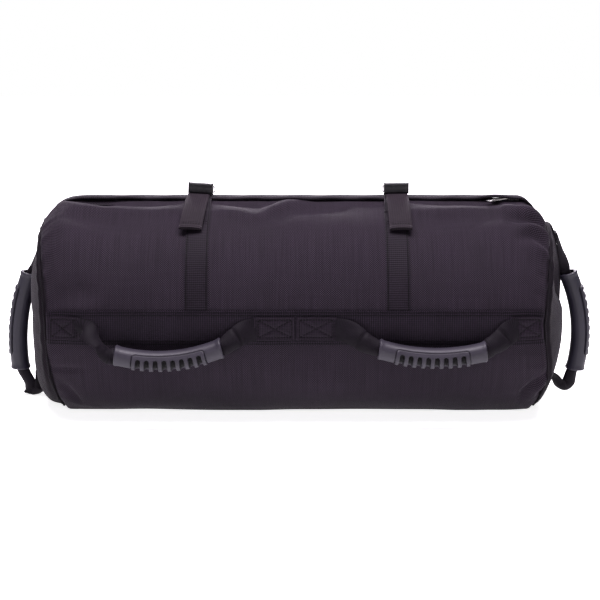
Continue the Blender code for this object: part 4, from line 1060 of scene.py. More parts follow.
def make_slider():
    base = TOP_Z
    top = block("slider_top", (SLIDER_X, 0, base + 0.0003), (0.0140, 0.0096, 0.0012), MAT["bright"], 0.0005)
    lips = [block("slider_lip", (SLIDER_X, y, base - 0.0007), (0.0125, 0.0010, 0.0016), MAT["bright"], 0.0003) for y in (-0.0044, 0.0044)]
    arch = spline([(SLIDER_X - 0.0045, 0, base + 0.0006), (SLIDER_X - 0.0030, 0, base + 0.0026), (SLIDER_X, 0, base + 0.0032),
                   (SLIDER_X + 0.0030, 0, base + 0.0026), (SLIDER_X + 0.0045, 0, base + 0.0006)], 22)
    bridge = tube("slider_bridge", arch, 0.0006, MAT["bright"], 10)
    slider = welded("zip_slider_metal", [top, *lips, bridge])
    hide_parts("zip_slider")
    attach(slider, "slider")
    # the pull: a flat tab that lies out under the flap's edge, its tip standing just off the cloth
    long = 0.0385
    outline = []
    for u, v in ((-0.0030, 0.0014), (-0.0022, 0.0026), (-0.0004, 0.0033), (0.0035, 0.0033), (0.0100, 0.0028),
                 (0.0240, 0.0031), (0.0330, 0.0035), (long - 0.0020, 0.0033), (long - 0.0004, 0.0022), (long, 0.0010)):
        outline.append((u, v))
    outline = outline + [(u, -v) for u, v in outline[::-1]]
    ring = [(0.0017 * math.cos(a), 0.0017 * math.sin(a)) for a in np.linspace(0, 2 * math.pi, 20, endpoint=False)]
    eye = [(long - 0.0068 + 0.0014 * math.cos(a), 0.0014 * math.sin(a)) for a in np.linspace(0, 2 * math.pi, 20, endpoint=False)]
    place = Matrix.Translation((SLIDER_X, 0, base + 0.0021)) @ Matrix.Rotation(math.radians(216.5), 4, "Z") @ Matrix.Rotation(math.radians(1.2), 4, "Y")
    pull = plate("zip_pull_tab", outline, 0.0010, MAT["bright"], 0.0003, place, holes=(ring, eye))
    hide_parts("zip_pull")
    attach(pull, "pull")


# ------------------------------------------------------------------ strap tops and buckles
BAR_Y, REAR_Y, BAR_Z = 0.001, 0.010, FLAP_TOP + 0.0045
BUCKLE_HALF = 0.0139
ROLL = {"left": math.radians(3.6), "right": math.radians(-0.8)}
SLANT = {"left": -0.0058, "right": 0.0012}


def strap_run(line, x0, wide, count, slant=0.0, across=11, cup=0.0):
    """Points and normals of a strap that follows a line of (y, z), its width along x."""
    path = spline(line, count)
    at = lengths(path)
    ahead = np.gradient(path, axis=0)
    ahead /= np.linalg.norm(ahead, axis=1, keepdims=True)
    offs = np.linspace(-wide / 2, wide / 2, across)
    P = np.zeros((count, across, 3))
    P[..., 0] = x0 + offs[None] + slant * (at / at[-1])[:, None]
    P[..., 1:] = path[:, None]
    N = np.zeros_like(P)
    N[..., 1] = ahead[:, None, 1]
    N[..., 2] = -ahead[:, None, 0]
    bend = np.broadcast_to(cup, (count,))[:, None] * (offs / (wide / 2))[None] ** 2
    P = P - N * bend[..., None]
    return P, N, offs, at


def rolled(points, x0, turn):
    """Turned about the line along y through the buckle's middle."""
    c, s = math.cos(turn), math.sin(turn)
    p = np.asarray(points, float).copy()
    dx, dz = p[..., 0] - x0, p[..., 2] - BAR_Z
    p[..., 0] = x0 + c * dx + s * dz
    p[..., 2] = BAR_Z - s * dx + c * dz
    return p


def turned(vectors, turn):
    c, s = math.cos(turn), math.sin(turn)
    v = np.asarray(vectors, float).copy()
    v[..., 0], v[..., 2] = c * vectors[..., 0] + s * vectors[..., 2], -s * vectors[..., 0] + c * vectors[..., 2]
    return v


def make_strap_tops():
    skin_z = lambda y: float(plain(0.0, float(s_at_y(y)))[..., 2])
    for hand in ("left", "right"):
        x0, cloth_x, turn = BUCKLE_X[hand], STRAP_X[hand], ROLL[hand]
        # the bridge from the sewn strap, over the flap's edge, to the buckle's centre bar
        line = [(-0.0460, skin_z(0.046) + 0.0012), (-0.0400, skin_z(0.040) + 0.0017), (-0.0330, skin_z(0.033) + 0.0028),
                (-0.0255, skin_z(0.0255) + 0.0041), (-0.0185, 0.2323), (-0.0130, 0.2339), (-0.0070, 0.2343), (0.0, 0.2345),
                (0.0040, 0.2356)]
        P, N, offs, at = strap_run(line, cloth_x, STRAP_WIDE, 60, slant=x0 - cloth_x)
        bridge = ribbon(f"{hand}_bridge_webbing", P, N, 0.0013, MAT["strap"], offs, at + 0.3)
        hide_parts(f"{hand}_strap_bridge")
        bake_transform(bridge)
        # the loop that holds the rear bar, sewn back on itself
        r = 0.0024
        loop = [(0.0330, skin_z(0.033) + 0.0017), (0.0285, skin_z(0.0285) + 0.0023), (0.0235, 0.2305), (0.0185, 0.2352), (0.0140, BAR_Z - r - 0.0004)]
        loop += [(REAR_Y + r * math.cos(math.radians(a)), BAR_Z + r * math.sin(math.radians(a))) for a in (-80, -110, -140, -170, -200, -230, -260, -290)]
        loop += [(0.0145, BAR_Z + 0.0007), (0.0190, 0.2376), (0.0240, 0.2328)]
        P, N, offs, at = strap_run(loop, x0, STRAP_WIDE, 96)
        anchor = ribbon(f"{hand}_anchor_webbing", P, N, 0.0013, MAT["strap"], offs, at)
        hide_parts(f"{hand}_buckle_anchor")
        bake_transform(anchor)
        # round the centre bar, down behind the front plate, and out as the free tail
        tail = [(0.0042, 0.2362), (0.0051, 0.2390), (0.0042, 0.2422), (0.0012, 0.2436), (-0.0022, 0.2424), (-0.0046, 0.2396),
                (-0.0066, 0.2372), (-0.0100, 0.2362), (-0.0160, 0.2361), (-0.0240, 0.2350), (-0.0320, 0.2332), (-0.0400, 0.2308),
                (-0.0480, 0.2277), (-0.0560, 0.2240), (-0.0640, 0.2196), (-0.0720, 0.2147), (-0.0800, 0.2093)]
        rows = 150
        bow = np.linspace(0, 1, rows) ** 3 * 0.0006
        P, N, offs, at = strap_run(tail, x0, 0.0246, rows, slant=SLANT[hand], cup=bow)
        share = np.clip((at - 0.030) / (at[-1] - 0.030), 0, 1)
        sag = 0.0010 * np.sin(share * math.pi * 1.5)[:, None] * np.cos(np.linspace(-1, 1, 11) * 1.2)[None]
        P = P - N * sag[..., None]
        hem = smooth((at - at[-1] + 0.0046) / 0.0009)
        lip = np.exp(-(((at - at[-1] + 0.0036) / 0.0007) ** 2))
        thick = (0.0013 + 0.0026 * hem + 0.0006 * lip)[:, None]
        P, N = rolled(P, x0, turn), turned(N, turn)
        strip = ribbon(f"{hand}_lit_tail_webbing", P, N, thick, MAT["tail"], offs, at)
        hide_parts(f"{hand}_strap_tail")
        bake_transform(strip)
        runs = []
        for back in (0.0105, 0.0080):
            i = int(np.searchsorted(at, at[-1] - back))
            runs.append((P[i, 1:-1] + N[i, 1:-1] * 0.0007, N[i, 1:-1]))
        sewn(f"{hand}_tail_stitches", runs, f"{hand}_tail", pitch=0.0026, long=0.0021)
        make_buckle(hand, x0, turn)


def make_buckle(hand, x0, turn):
    spin = Matrix.Translation((x0, 0, BAR_Z)) @ Matrix.Rotation(turn, 4, "Y") @ Matrix.Translation((-x0, 0, -BAR_Z))
    lip_foot, lip_top = np.array((-0.0092, 0.2376)), np.array((-0.0108, 0.2478))
    side = [(REAR_Y + 0.0028, BAR_Z - 0.0024), (REAR_Y + 0.0033, BAR_Z + 0.0010), (REAR_Y + 0.0016, BAR_Z + 0.0027), (0.0010, BAR_Z + 0.0030),
            (-0.0050, BAR_Z + 0.0046), (-0.0085, 0.2492), (-0.0108, 0.2499), (-0.0128, 0.2490), (-0.0127, 0.2455), (-0.0112, 0.2384),
            (-0.0098, 0.2366), (-0.0050, 0.2368)]
    pieces = []
    for way in (-1, 1):
        place = Matrix.Translation((x0 + way * (BUCKLE_HALF - 0.00055), 0, 0)) @ Matrix(((0, 0, 1, 0), (1, 0, 0, 0), (0, 1, 0, 0), (0, 0, 0, 1)))
        pieces.append(plate(f"{hand}_cheek", side, 0.0011, MAT["black"], 0.00028, place))
    reach = BUCKLE_HALF - 0.0004
    for y in (REAR_Y, BAR_Y):
        pieces.append(tube(f"{hand}_bar", np.linspace((x0 - reach, y, BAR_Z), (x0 + reach, y, BAR_Z), 6), 0.0015, MAT["black"], 18))
    # the front plate, rolled over at its top and turned in at its foot
    profile = spline([(-0.0072, 0.2384), (-0.0084, 0.2376), (-0.0094, 0.2382), (-0.0100, 0.2410), (-0.0106, 0.2445), (-0.0112, 0.2468),
                      (-0.0114, 0.2480), (-0.0104, 0.2488), (-0.0093, 0.2482), (-0.0092, 0.2470)], 40)
    P = np.zeros((40, 9, 3))
    P[..., 0] = x0 + np.linspace(-reach, reach, 9)[None]
    P[..., 1:] = profile[:, None]
    ahead = np.gradient(profile, axis=0)
    ahead /= np.linalg.norm(ahead, axis=1, keepdims=True)
    N = np.zeros_like(P)
    N[..., 1], N[..., 2] = ahead[:, None, 1], -ahead[:, None, 0]
    pieces.append(ribbon(f"{hand}_plate", P, N, 0.0011, MAT["black"], np.zeros(9), lengths(profile), taper=1.0))
    buckle = welded(f"{hand}_buckle_metal", pieces)
    buckle.data.transform(spin)
    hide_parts(f"{hand}_buckle")
    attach(buckle, f"{hand}_lock")
    # the worn bright loop at the inner side of the frame
    way = 1 if hand == "left" else -1
    bow = spline([(x0 + way * (BUCKLE_HALF - 0.0004), -0.0040, 0.2462), (x0 + way * (BUCKLE_HALF + 0.0012), -0.0050, 0.2450),
                  (x0 + way * (BUCKLE_HALF + 0.0021), -0.0055, 0.2425), (x0 + way * (BUCKLE_HALF + 0.0016), -0.0050, 0.2396),
                  (x0 + way * (BUCKLE_HALF - 0.0003), -0.0040, 0.2382)], 26)
    loop = tube(f"{hand}_buckle_side_loop", rolled(bow, x0, turn), 0.00062, MAT["bright"], 12)
    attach(loop, f"{hand}_lock")


# ------------------------------------------------------------------ handles
def circle_through(a, m, b, count):
    a, m, b = (np.asarray(v, float) for v in (a, m, b))
    to_m, to_b = m - a, b - a
    mm, bb, mb = to_m @ to_m, to_b @ to_b, to_m @ to_b
    spread = 2 * (mm * bb - mb * mb)
    centre = a + to_m * (bb * (mm - mb) / spread) + to_b * (mm * (bb - mb) / spread)
    start, end = a - centre, b - centre
    turn = math.acos(np.clip(start @ end / np.linalg.norm(start) / np.linalg.norm(end), -1, 1))
    axis = np.cross(start, end)
    axis /= np.linalg.norm(axis)
    side = np.cross(axis, start)
    t = np.linspace(0, turn, count)[:, None]
    return centre + start * np.cos(t) + side * np.sin(t), -start * np.sin(t) + side * np.cos(t)


def box_distance(a, b, half_a, half_b, corner):
    """Signed distance to a rectangle with round corners, on the unrolled rubber."""
    qa, qb = np.abs(a) - (half_a - corner), np.abs(b) - (half_b - corner)
    return np.hypot(np.maximum(qa, 0), np.maximum(qb, 0)) + np.minimum(np.maximum(qa, qb), 0) - corner


def make_grip(name, node, body, a, m, b, depth_axis, material, turn=0.0, deep=0.0040):
    """A moulded rubber sleeve along an arc: a ribbed field turned by turn from the outer side, eight slots cut in it."""
    nt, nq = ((250, 112))
    path, ahead = circle_through(a, m, b, nt)
    ahead /= np.linalg.norm(ahead, axis=1, keepdims=True)
    depth_axis = np.asarray(depth_axis, float)
    outer = np.cross(ahead, depth_axis)
    outer /= np.linalg.norm(outer, axis=1, keepdims=True)
    at = lengths(path)
    half_long = at[-1] / 2
    t = (at - half_long)[:, None]
    q = np.linspace(0, 2 * math.pi, nq, endpoint=False)[None]
    power = 2.25
    c, s = np.cos(q), np.sin(q)
    u = np.sign(c) * np.abs(c) ** (2 / power) * 0.0102
    v = np.sign(s) * np.abs(s) ** (2 / power) * 0.0113
    wrapped = np.where(q > math.pi, q - 2 * math.pi, q)
    arc = (np.mod(q - turn + math.pi, 2 * math.pi) - math.pi) * 0.0110
    # the ribbed field stands proud towards its far edge, inside a thin groove
    field = box_distance(t, arc, FIELD_HALF, SLOT_REACH + FIELD_EDGE, 0.0040)
    facing_side = arc * (1 if turn >= 0 else -1)
    proud = 0.0015 * smooth(-field / 0.0009 + 0.4) * (0.25 + 0.75 * smooth((SLOT_REACH + FIELD_EDGE - facing_side) / 0.013))
    groove = 0.0008 * np.exp(-((field - 0.0004) / 0.0005) ** 2)
    cut = np.zeros(np.broadcast(t, arc).shape)
    for i in range(8):
        d = box_distance(t - (i - 3.5) * SLOT_PITCH, arc, SLOT_HALF, SLOT_REACH, SLOT_HALF - 0.0001)
        cut = np.maximum(cut, smooth(-d / 0.0009 + 0.3))
    flared = 0.0009 * smooth(1 - (half_long - np.abs(t)) / 0.0065) - 0.0012 * smooth(1 - (half_long - np.abs(t)) / 0.0012)
    seam = -0.00018 * np.exp(-((np.abs(np.abs(wrapped) - math.pi / 2 * 1.24) * 0.011) / 0.0004) ** 2)
    swell = proud - groove - deep * cut + flared + seam
    k = 1 + swell / np.hypot(u, v)
    # the ends are cut a little off square, shorter on the outer side
    slip = -0.15 * u * (t / half_long) ** 3
    ring = path[:, None] + outer[:, None] * (u * k)[..., None] + depth_axis * (v * k)[..., None] + ahead[:, None] * slip[..., None]
    # the bore, so that the ends are open rings of rubber
    bore_u, bore_v = np.sign(c) * np.abs(c) ** (2 / 2.4) * 0.0078, np.sign(s) * np.abs(s) ** (2 / 2.4) * 0.0090
    inner_rows = np.array([nt - 1, nt - 1, nt - 9, nt - 34, nt // 2, 33, 8, 0, 0])
    shrink = np.array([1.12, 1.0, 0.97, 0.95, 0.86, 0.95, 0.97, 1.0, 1.12])
    bore = path[inner_rows][:, None] + outer[inner_rows][:, None] * (bore_u * shrink[:, None])[..., None] \
        + depth_axis * (bore_v * shrink[:, None])[..., None] + ahead[inner_rows][:, None] * slip[inner_rows][..., None]
    P = np.concatenate([ring, bore])
    grid = quads(len(P) + 1, nq, wrap=True) % (len(P) * nq)
    uv = np.stack(np.broadcast_arrays(arc, np.concatenate([t, t[inner_rows]])), -1)
    grip = solid(name, P.reshape(-1, 3), grid, material, uv.reshape(-1, 2), sharp=50, closed=True)
    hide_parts(node)
    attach(grip, body)
    return path


def strand(name, points, outs, curls, wide=0.0250, count=80, dents=()):
    """A run of webbing that curls lengthwise: points of its middle line, the way its crown faces, and how far
    round it curls, from flat 0 to about 3.9 radians where it goes into the grip. dents: (share along, depth)."""
    path = spline(points, count)
    outs, curls = spline(outs, count), spline(np.asarray(curls, float)[:, None], count)[:, 0]
    ahead = np.gradient(path, axis=0)
    ahead /= np.linalg.norm(ahead, axis=1, keepdims=True)
    outs = outs - ahead * np.sum(outs * ahead, 1, keepdims=True)
    outs /= np.linalg.norm(outs, axis=1, keepdims=True)
    across = np.cross(outs, ahead)
    nb = 25
    q = np.linspace(-0.5, 0.5, nb)
    turn = np.maximum(curls, 0.02)[:, None]
    r = wide / turn
    a = q[None] * turn
    middle = np.sin(turn / 2) / (turn / 2)
    P = path[:, None] + across[:, None] * (r * np.sin(a))[..., None] + outs[:, None] * (r * (np.cos(a) - middle))[..., None]
    N = across[:, None] * np.sin(a)[..., None] + outs[:, None] * np.cos(a)[..., None]
    at = lengths(path)
    wave = 0.00035 * np.sin(at * 210 + 1.1)[:, None] * np.sin(q * 9)[None]
    for share, depth in dents:
        wave = wave - depth * np.exp(-(((at / at[-1] - share) * at[-1] / 0.0022) ** 2))[:, None] * np.cos(q * 2.6)[None]
    P = P + N * wave[..., None]
    P[..., 2] = np.maximum(P[..., 2], 0.0014)
    strap = ribbon(name, P, N, 0.0015, MAT["handle"], q * wide, at)
    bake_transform(strap)
    return strap


def mirrored(points, side):
    p = np.asarray(points, float).copy()
    p[..., 1] *= side
    return p


FRONT = {
    "left": dict(a=(-0.1972, 0.0846), m=(-0.1477, 0.0784), b=(-0.0827, 0.0928)),
    "right": dict(a=(0.0836, 0.0914), m=(0.1424, 0.0817), b=(0.1981, 0.0887)),
}
# where each strand runs in the picture, from its tab to its grip
STRANDS = {
    "left": ([(77.5, 331.3), (83.0, 328.9), (89.8, 333.0), (96.3, 340.6), (103.0, 348.6), (109.5, 355.2)],
             [(256.5, 330.2), (250, 330.6), (243, 333.0), (236, 337.4), (230, 342.2), (226, 345.4)]),
    "right": ([(335.5, 329.6), (342, 330.2), (350, 332.8), (358.5, 337.6), (366.5, 343.4), (373.5, 347.2)],
              [(519.0, 329.4), (513.5, 330.4), (508.0, 334.0), (502.5, 339.4), (496.5, 344.0), (491.0, 347.0)]),
}
STRAND_DEPTH = [-0.1281, -0.1296, -0.1330, -0.1365, -0.1388, -0.1400]
EDGE_ON_DEPTH = [-0.1281, -0.1312, -0.1368, -0.1392, -0.1402, -0.1400]


def make_side_handles():
    for face, side in (("front", 1), ("rear", -1)):
        for hand in ("left", "right"):
            body = f"{face}_{hand}_handle"
            put = {k: mirrored((v[0], GRIP_Y, v[1]), side) for k, v in FRONT[hand].items()}
            axis = mirrored((0, -1.0, 0), side)
            a, m, b = put["a"], put["m"], put["b"]
            if side < 0:
                a, b = b, a
            path = make_grip(f"{body}_rubber", f"{body}_grip", body, a, m, b, axis, MAT["rubber"], turn=0.74)
            if side < 0:
                path = path[::-1]
            far = int(len(path) * 0.125)
            for letter, line in zip("ab", STRANDS[hand]):
                into = [path[0], path[far]] if letter == "a" else [path[-1], path[-1 - far]]
                deep = EDGE_ON_DEPTH if hand + letter == "lefta" else STRAND_DEPTH
                pts = [mirrored(spot(x, z, y), side) for (x, z), y in zip(line, deep)] + into
                if hand == "left" and letter == "a":
                    outs = [(0, -1, 0.02), (0.22, -0.80, 0.45), (0.58, -0.30, 0.72), (0.68, -0.06, 0.70), (0.68, -0.06, 0.70), (0.50, -0.38, 0.70), (0, -1, 0.2), (0, -1, 0)]
                else:
                    outs = [(0, -1, 0.02), (0, -1, 0.08), (0, -1, 0.22), (0, -1, 0.28), (0, -1, 0.18), (0, -1, 0.05), (0, -1, 0), (0, -1, 0)]
                curls = [0.06, 0.40, 1.50, 2.60, 3.30, 3.70, 3.85, 3.90]
                if hand == "right" and letter == "b":
                    curls = [0.06, 0.90, 2.30, 3.05, 3.50, 3.75, 3.85, 3.90]
                if hand == "left" and letter == "a":
                    curls = [0.06, 0.12, 0.40, 0.80, 1.50, 2.80, 3.70, 3.90]
                dents = {"lefta": ((0.62, 0.0006),), "leftb": ((0.40, 0.0022),), "righta": ((0.46, 0.0016),), "rightb": ((0.30, 0.0022),)}[hand + letter]
                strap = strand(f"{body}_strand_{letter}", pts, mirrored(outs, side), curls,
                               dents=dents)
                if letter == "a":
                    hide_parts(f"{body}_webbing")


def panel_at(side, y, z, out=0.0):
    """A point on an end panel's cloth, and the way it faces."""
    edge, s, w = rim(side, 720)
    angle = np.arctan2(edge[:, 2] - PANEL_CENTRE_Z, edge[:, 1])
    radius = np.hypot(edge[:, 2] - PANEL_CENTRE_Z, edge[:, 1])
    order = np.argsort(angle)
    angle, radius, around, ex = angle[order], radius[order], w[order], edge[order, 0]
    around = np.unwrap(around, period=2 * HALF_ROUND)
    phi = np.interp(np.abs(s), _s, _phi)[order]

    def x_of(y, z):
        a = np.arctan2(z - PANEL_CENTRE_Z, y)
        read = lambda values: np.interp(a, angle, values, period=2 * math.pi)
        k = np.clip(np.hypot(y, z - PANEL_CENTRE_Z) / read(radius), 0, 1)
        return panel_x(side, k, read(ex), read(phi), read(around))

    y, z = np.broadcast_arrays(np.asarray(y, float), np.asarray(z, float))
    e = 0.001
    x = x_of(y, z)
    gy, gz = (x_of(y + e, z) - x_of(y - e, z)) / (2 * e), (x_of(y, z + e) - x_of(y, z - e)) / (2 * e)
    n = np.stack([np.ones_like(x), -gy, -gz], -1) * side
    n /= np.linalg.norm(n, axis=-1, keepdims=True)
    return np.stack([x, y, z], -1) + n * out, n


# the end handles: each grip's ends and middle, and where its webbing runs in the picture above and below it
ENDS = {
    "left": dict(way=-1, turn=-0.52, grip=((-0.3064, 0.1450), (-0.3230, 0.0726), (-0.3218, 0.0327)),
                 top=[(42.6, 232), (40.6, 242), (38.2, 251), (35.6, 259), (33.2, 266.5)],
                 low=[(22.4, 372), (25.6, 378), (28.6, 384), (30.6, 389.5), (32.0, 393.4), (37.5, 391.6), (43.0, 386)]),
    "right": dict(way=1, turn=0.44, grip=((0.3043, 0.1450), (0.3207, 0.0844), (0.3167, 0.0316)),
                  top=[(557.2, 232), (559.4, 242), (561.9, 251), (564.6, 259), (567.1, 266.5)],
                  low=[(573.4, 372), (571.8, 378), (569.8, 384), (565.6, 387.6), (560.0, 386.0), (556.2, 380.8), (552.5, 374.0)]),
}


def make_end_handles():
    for hand, spec in ENDS.items():
        way, body = spec["way"], f"{hand}_end_handle"
        top, mid, low = (np.array((x, 0.0, z)) for x, z in spec["grip"])
        axis = np.array((0, 1.0 * way, 0))
        path = make_grip(f"{body}_rubber", f"{body}_grip", body, top, mid, low, axis, MAT["shaded_end_rubber"], turn=spec["turn"])
        far = int(len(path) * 0.12)
        for word in ("top", "low"):
            line = [np.array(spot(x, z, 0.0)) for x, z in spec[word]]
            if word == "top":
                head = [panel_at(way, 0.0, z, 0.0032)[0] for z in (0.1905, 0.1845)]
                pts = head + line[2:] + [path[0], path[far]]
                curls = [0.10, 0.50, 1.20, 2.20, 3.20, 3.80, 3.90]
                outs = [(way, 0, 0.25), (way, -0.05, 0.25), (way, -0.15, 0.22), (way, -0.35, 0.2), (way * 0.85, -0.55, 0.1), (way * 0.8, -0.6, 0), (way * 0.8, -0.6, 0)]
            else:
                foot, _ = panel_at(way, 0.0, 0.0330, 0.0016)
                pts = [path[-1 - far], path[-1]] + line + [foot]
                curls = [3.90, 3.80, 3.20, 2.80, 2.50, 2.20, 1.90, 1.60, 1.20, 0.40]
                outs = [(way * 0.45, -0.89, 0), (way * 0.45, -0.89, 0), (way * 0.45, -0.89, 0), (way * 0.5, -0.86, -0.05), (way * 0.55, -0.83, -0.1),
                        (way * 0.6, -0.7, -0.4), (way * 0.1, -0.55, -0.83), (-way * 0.4, -0.45, -0.8), (-way * 0.7, -0.3, -0.65), (-way * 0.95, 0, -0.3)]
            strap = strand(f"{body}_strand_{word}", pts, np.array(outs, float), curls)
            if word == "top":
                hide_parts(f"{body}_webbing")
            # the tab sewn to the panel
            name = "top" if word == "top" else "bottom"
            z_free, z_seam = (0.1800, 0.2010) if word == "top" else (0.0380, 0.0200)
            zs = np.linspace(z_free, z_seam, 14)
            ys = np.linspace(-0.0125, 0.0125, 11)
            Z, Y = np.meshgrid(zs, ys, indexing="ij")
            P, N = panel_at(way, Y, Z, 0.0013)
            tab = ribbon(f"{body}_{name}_tab_webbing", P, N, 0.0015, MAT["handle"], ys, zs)
            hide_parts(f"{body}_{name}_tab")
            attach(tab, "bag")
            runs = []
            mid_z = (z_free + z_seam) / 2
            hz = abs(z_free - z_seam) / 2 - 0.003
            ring = [(-0.0100, mid_z - hz), (0.0100, mid_z - hz), (0.0100, mid_z + hz), (-0.0100, mid_z + hz), (-0.0100, mid_z - hz)]
            for (ya, za), (yb, zb) in zip(ring, ring[1:]):
                t = np.linspace(0, 1, 16)
                runs.append(panel_at(way, ya + (yb - ya) * t, za + (zb - za) * t, 0.0022))
            sewn(f"{body}_{name}_tab_stitches", runs, "bag", pitch=0.0030, long=0.0024)


# ------------------------------------------------------------------ the filler bags inside
FILLERS = {
    "front_lower": ((-0.0590, 0.0600), (0.0560, 0.0525)),
    "rear_lower": ((0.0590, 0.0600), (0.0560, 0.0525)),
    "upper": ((0.0, 0.1660), (0.0960, 0.0490)),
}


def inner_reach(angle):
    """How far the wrap's lining is from the bag's middle, by the angle from the rear."""
    y, z = _y, _z - MID_Z
    a, r = np.arctan2(z, y)[::-1], np.hypot(y, z)[::-1]
    return np.interp(angle, a, r) - 0.0070


def make_fillers():
    left, right = -0.246, 0.238
    for index, (word, (centre, half)) in enumerate(FILLERS.items()):
        rng = np.random.default_rng(60 + index)
        count = 96
        stations = [(0.0, 0.80, 0.08), (0.012, 0.90, 0.55), (0.032, 0.98, 0.90), (0.060, 1.0, 1.0), (0.389, 1.0, 1.0), (0.424, 0.97, 0.86), (0.450, 0.88, 0.42), (0.462, 0.84, 0.13), (0.484, 0.84, 0.13)]
        base = np.array(stations)
        d = np.linspace(0, 0.484, 120)
        sy, sz = np.interp(d, base[:, 0], base[:, 1]), np.interp(d, base[:, 0], base[:, 2])
        sy, sz = moved(sy), moved(sz)
        a = np.linspace(0, 2 * math.pi, count, endpoint=False)
        c, s = np.cos(a), np.sin(a)
        bumps = [(rng.integers(2, 9), rng.uniform(20, 90), rng.uniform(0, 6.28)) for _ in range(8)]

        def surface(inset, rows_from, rows_to, scale):
            rows = []
            for i in range(rows_from, rows_to):
                y = centre[0] + np.sign(c) * np.abs(c) ** (2 / 3.2) * (half[0] * sy[i] - inset)
                z = centre[1] + np.sign(s) * np.abs(s) ** (2 / 3.2) * np.maximum(half[1] * sz[i] - inset, 0.0016)
                ripple = sum(np.cos(n * a + k * d[i] + o) for n, k, o in bumps) * 0.00028 * scale * min(1.0, sz[i] * 1.4)
                r, angle = np.hypot(y, z - MID_Z), np.arctan2(z - MID_Z, np.abs(y))
                most = inner_reach(angle) - inset
                keep = np.minimum(r + ripple - 0.0015, most) / np.maximum(r, 1e-9)
                rows.append(np.stack([np.full(count, left + d[i]), y * keep, MID_Z + (z - MID_Z) * keep], -1))
            return np.array(rows)

        outer = surface(0.0, 0, 120, 1.0)
        caps = [tuple(range(count))[::-1], tuple(119 * count + j for j in range(count))]
        faces = [tuple(f) for f in quads(120, count, wrap=True)] + caps
        uv = np.stack(np.broadcast_arrays((a * 0.07)[None], d[:, None]), -1)
        sleeve = solid(f"filler_{word}_cloth", outer, faces, MAT["sleeve"], uv.reshape(-1, 2), sharp=50, closed=True)
        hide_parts(f"filler_{word}_sleeve")
        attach(sleeve, "bag")
        core = surface(0.0030, 6, 112, 1.0)
        faces = [tuple(f) for f in quads(106, count, wrap=True)] + [tuple(range(count))[::-1], tuple(105 * count + j for j in range(count))]
        sand = solid(f"filler_{word}_grains", core, faces, MAT["sand"], closed=True, sharp=50)
        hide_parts(f"filler_{word}_sand")
        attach(sand, "bag")
        end = outer[112:118].mean((0, 1))
        wide = outer[114][:, 1].max() - outer[114][:, 1].min()
        strip = block(f"filler_{word}_strip", (right - 0.0100, end[1], end[2]), (0.0150, wide * 0.72, 0.0014), MAT["hooks"], 0.0003)
        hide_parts(f"filler_{word}_closure")
        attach(strip, "bag")


def moved(values):
    v = values.copy()
    for _ in range(4):
        v[1:-1] = (v[:-2] + 2 * v[1:-1] + v[2:]) / 4
    return v


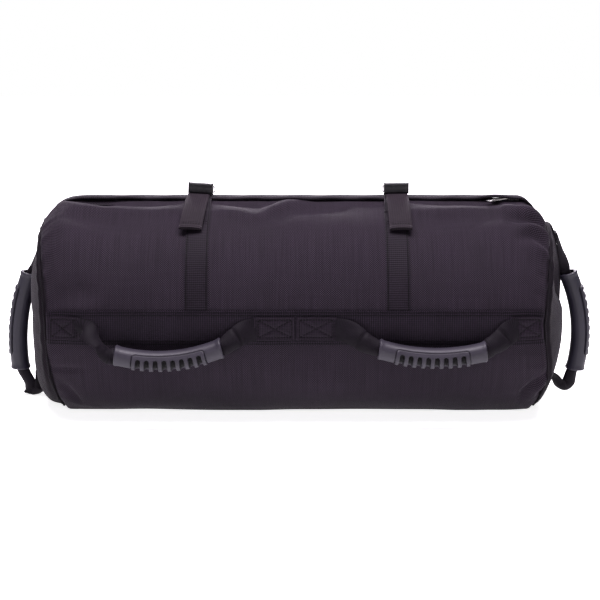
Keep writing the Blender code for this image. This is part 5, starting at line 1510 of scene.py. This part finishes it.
# ------------------------------------------------------------------ camera, light and floor
def make_stage():
    floor_mesh = bpy.data.meshes.new("floor")
    floor_mesh.from_pydata([(-3.6, -3.4, 0), (3.6, -3.4, 0), (3.6, 3.4, 0), (-3.6, 3.4, 0)], [], [(0, 1, 2, 3)])
    floor = bpy.data.objects.new("floor", floor_mesh)
    bpy.context.scene.collection.objects.link(floor)
    mat = bpy.data.materials.new("pale_floor")
    mat.use_nodes = True
    shade = mat.node_tree.nodes["Principled BSDF"]
    shade.inputs["Base Color"].default_value = (0.80, 0.80, 0.80, 1)
    shade.inputs["Roughness"].default_value = 0.9
    shade.inputs["Specular IOR Level"].default_value = 0.1
    shade.inputs["Emission Color"].default_value = (1, 1, 1, 1)
    shade.inputs["Emission Strength"].default_value = 0.83
    floor_mesh.materials.append(mat)

    # the set is white to the eye, while most of the light comes from the three softboxes
    world = bpy.data.worlds.new("studio")
    bpy.context.scene.world = world
    world.use_nodes = True
    tree = world.node_tree
    seen_white = tree.nodes["Background"]
    seen_white.inputs["Color"].default_value = (1, 1, 1, 1)
    seen_white.inputs["Strength"].default_value = 1.0
    room = tree.nodes.new("ShaderNodeBackground")
    room.inputs["Color"].default_value = (1.0, 0.93, 1.04, 1)
    room.inputs["Strength"].default_value = 0.15
    rays = tree.nodes.new("ShaderNodeLightPath")
    mix = tree.nodes.new("ShaderNodeMixShader")
    tree.links.new(rays.outputs["Is Camera Ray"], mix.inputs[0])
    tree.links.new(room.outputs[0], mix.inputs[1])
    tree.links.new(seen_white.outputs[0], mix.inputs[2])
    tree.links.new(mix.outputs[0], tree.nodes["World Output"].inputs["Surface"])

    def area(name, at, aim, size, power, colour=(1, 1, 1)):
        data = bpy.data.lights.new(name, "AREA")
        data.shape = "RECTANGLE"
        data.size, data.size_y = size
        data.energy = power
        data.color = colour
        lamp = bpy.data.objects.new(name, data)
        lamp.location = at
        lamp.rotation_euler = (Vector(aim) - Vector(at)).to_track_quat("-Z", "Y").to_euler()
        bpy.context.scene.collection.objects.link(lamp)

    area("top_softbox", (0.0, -0.15, 1.7), (0, 0.0, 0.1), (1.7, 0.7), 68, (1.0, 0.93, 1.02))
    area("front_softbox", (-0.35, -2.3, 1.35), (0, 0, 0.1), (1.5, 0.8), 10, (1.0, 0.93, 1.04))
    area("rim_softbox", (0.0, 1.62, 0.94), (0, 0, 0.2), (1.7, 0.3), 48, (1.0, 0.93, 1.02))

    data = bpy.data.cameras.new("camera")
    data.lens = 97.6
    data.sensor_width = 36
    camera = bpy.data.objects.new("camera", data)
    bpy.context.scene.collection.objects.link(camera)
    up = math.radians(13.0)
    centre = Vector((0.0, 0.0, 0.1095))
    away = Vector((0, -math.cos(up), math.sin(up)))
    camera.location = centre + away * 1.86
    camera.rotation_euler = (-away).to_track_quat("-Z", "Y").to_euler()
    data.shift_y = 0.0042
    bpy.context.scene.camera = camera
    bpy.context.scene.view_settings.view_transform = "Standard"
    bpy.context.scene.view_settings.look = "None"


def main():
    make_stage()
    make_wrap()
    make_panel(-1, "left")
    make_panel(1, "right")
    make_bands()
    make_sewn_straps()
    make_tabs()
    make_zip()
    make_slider()
    make_flap()
    make_strap_tops()
    make_side_handles()
    make_end_handles()
    make_fillers()


main()
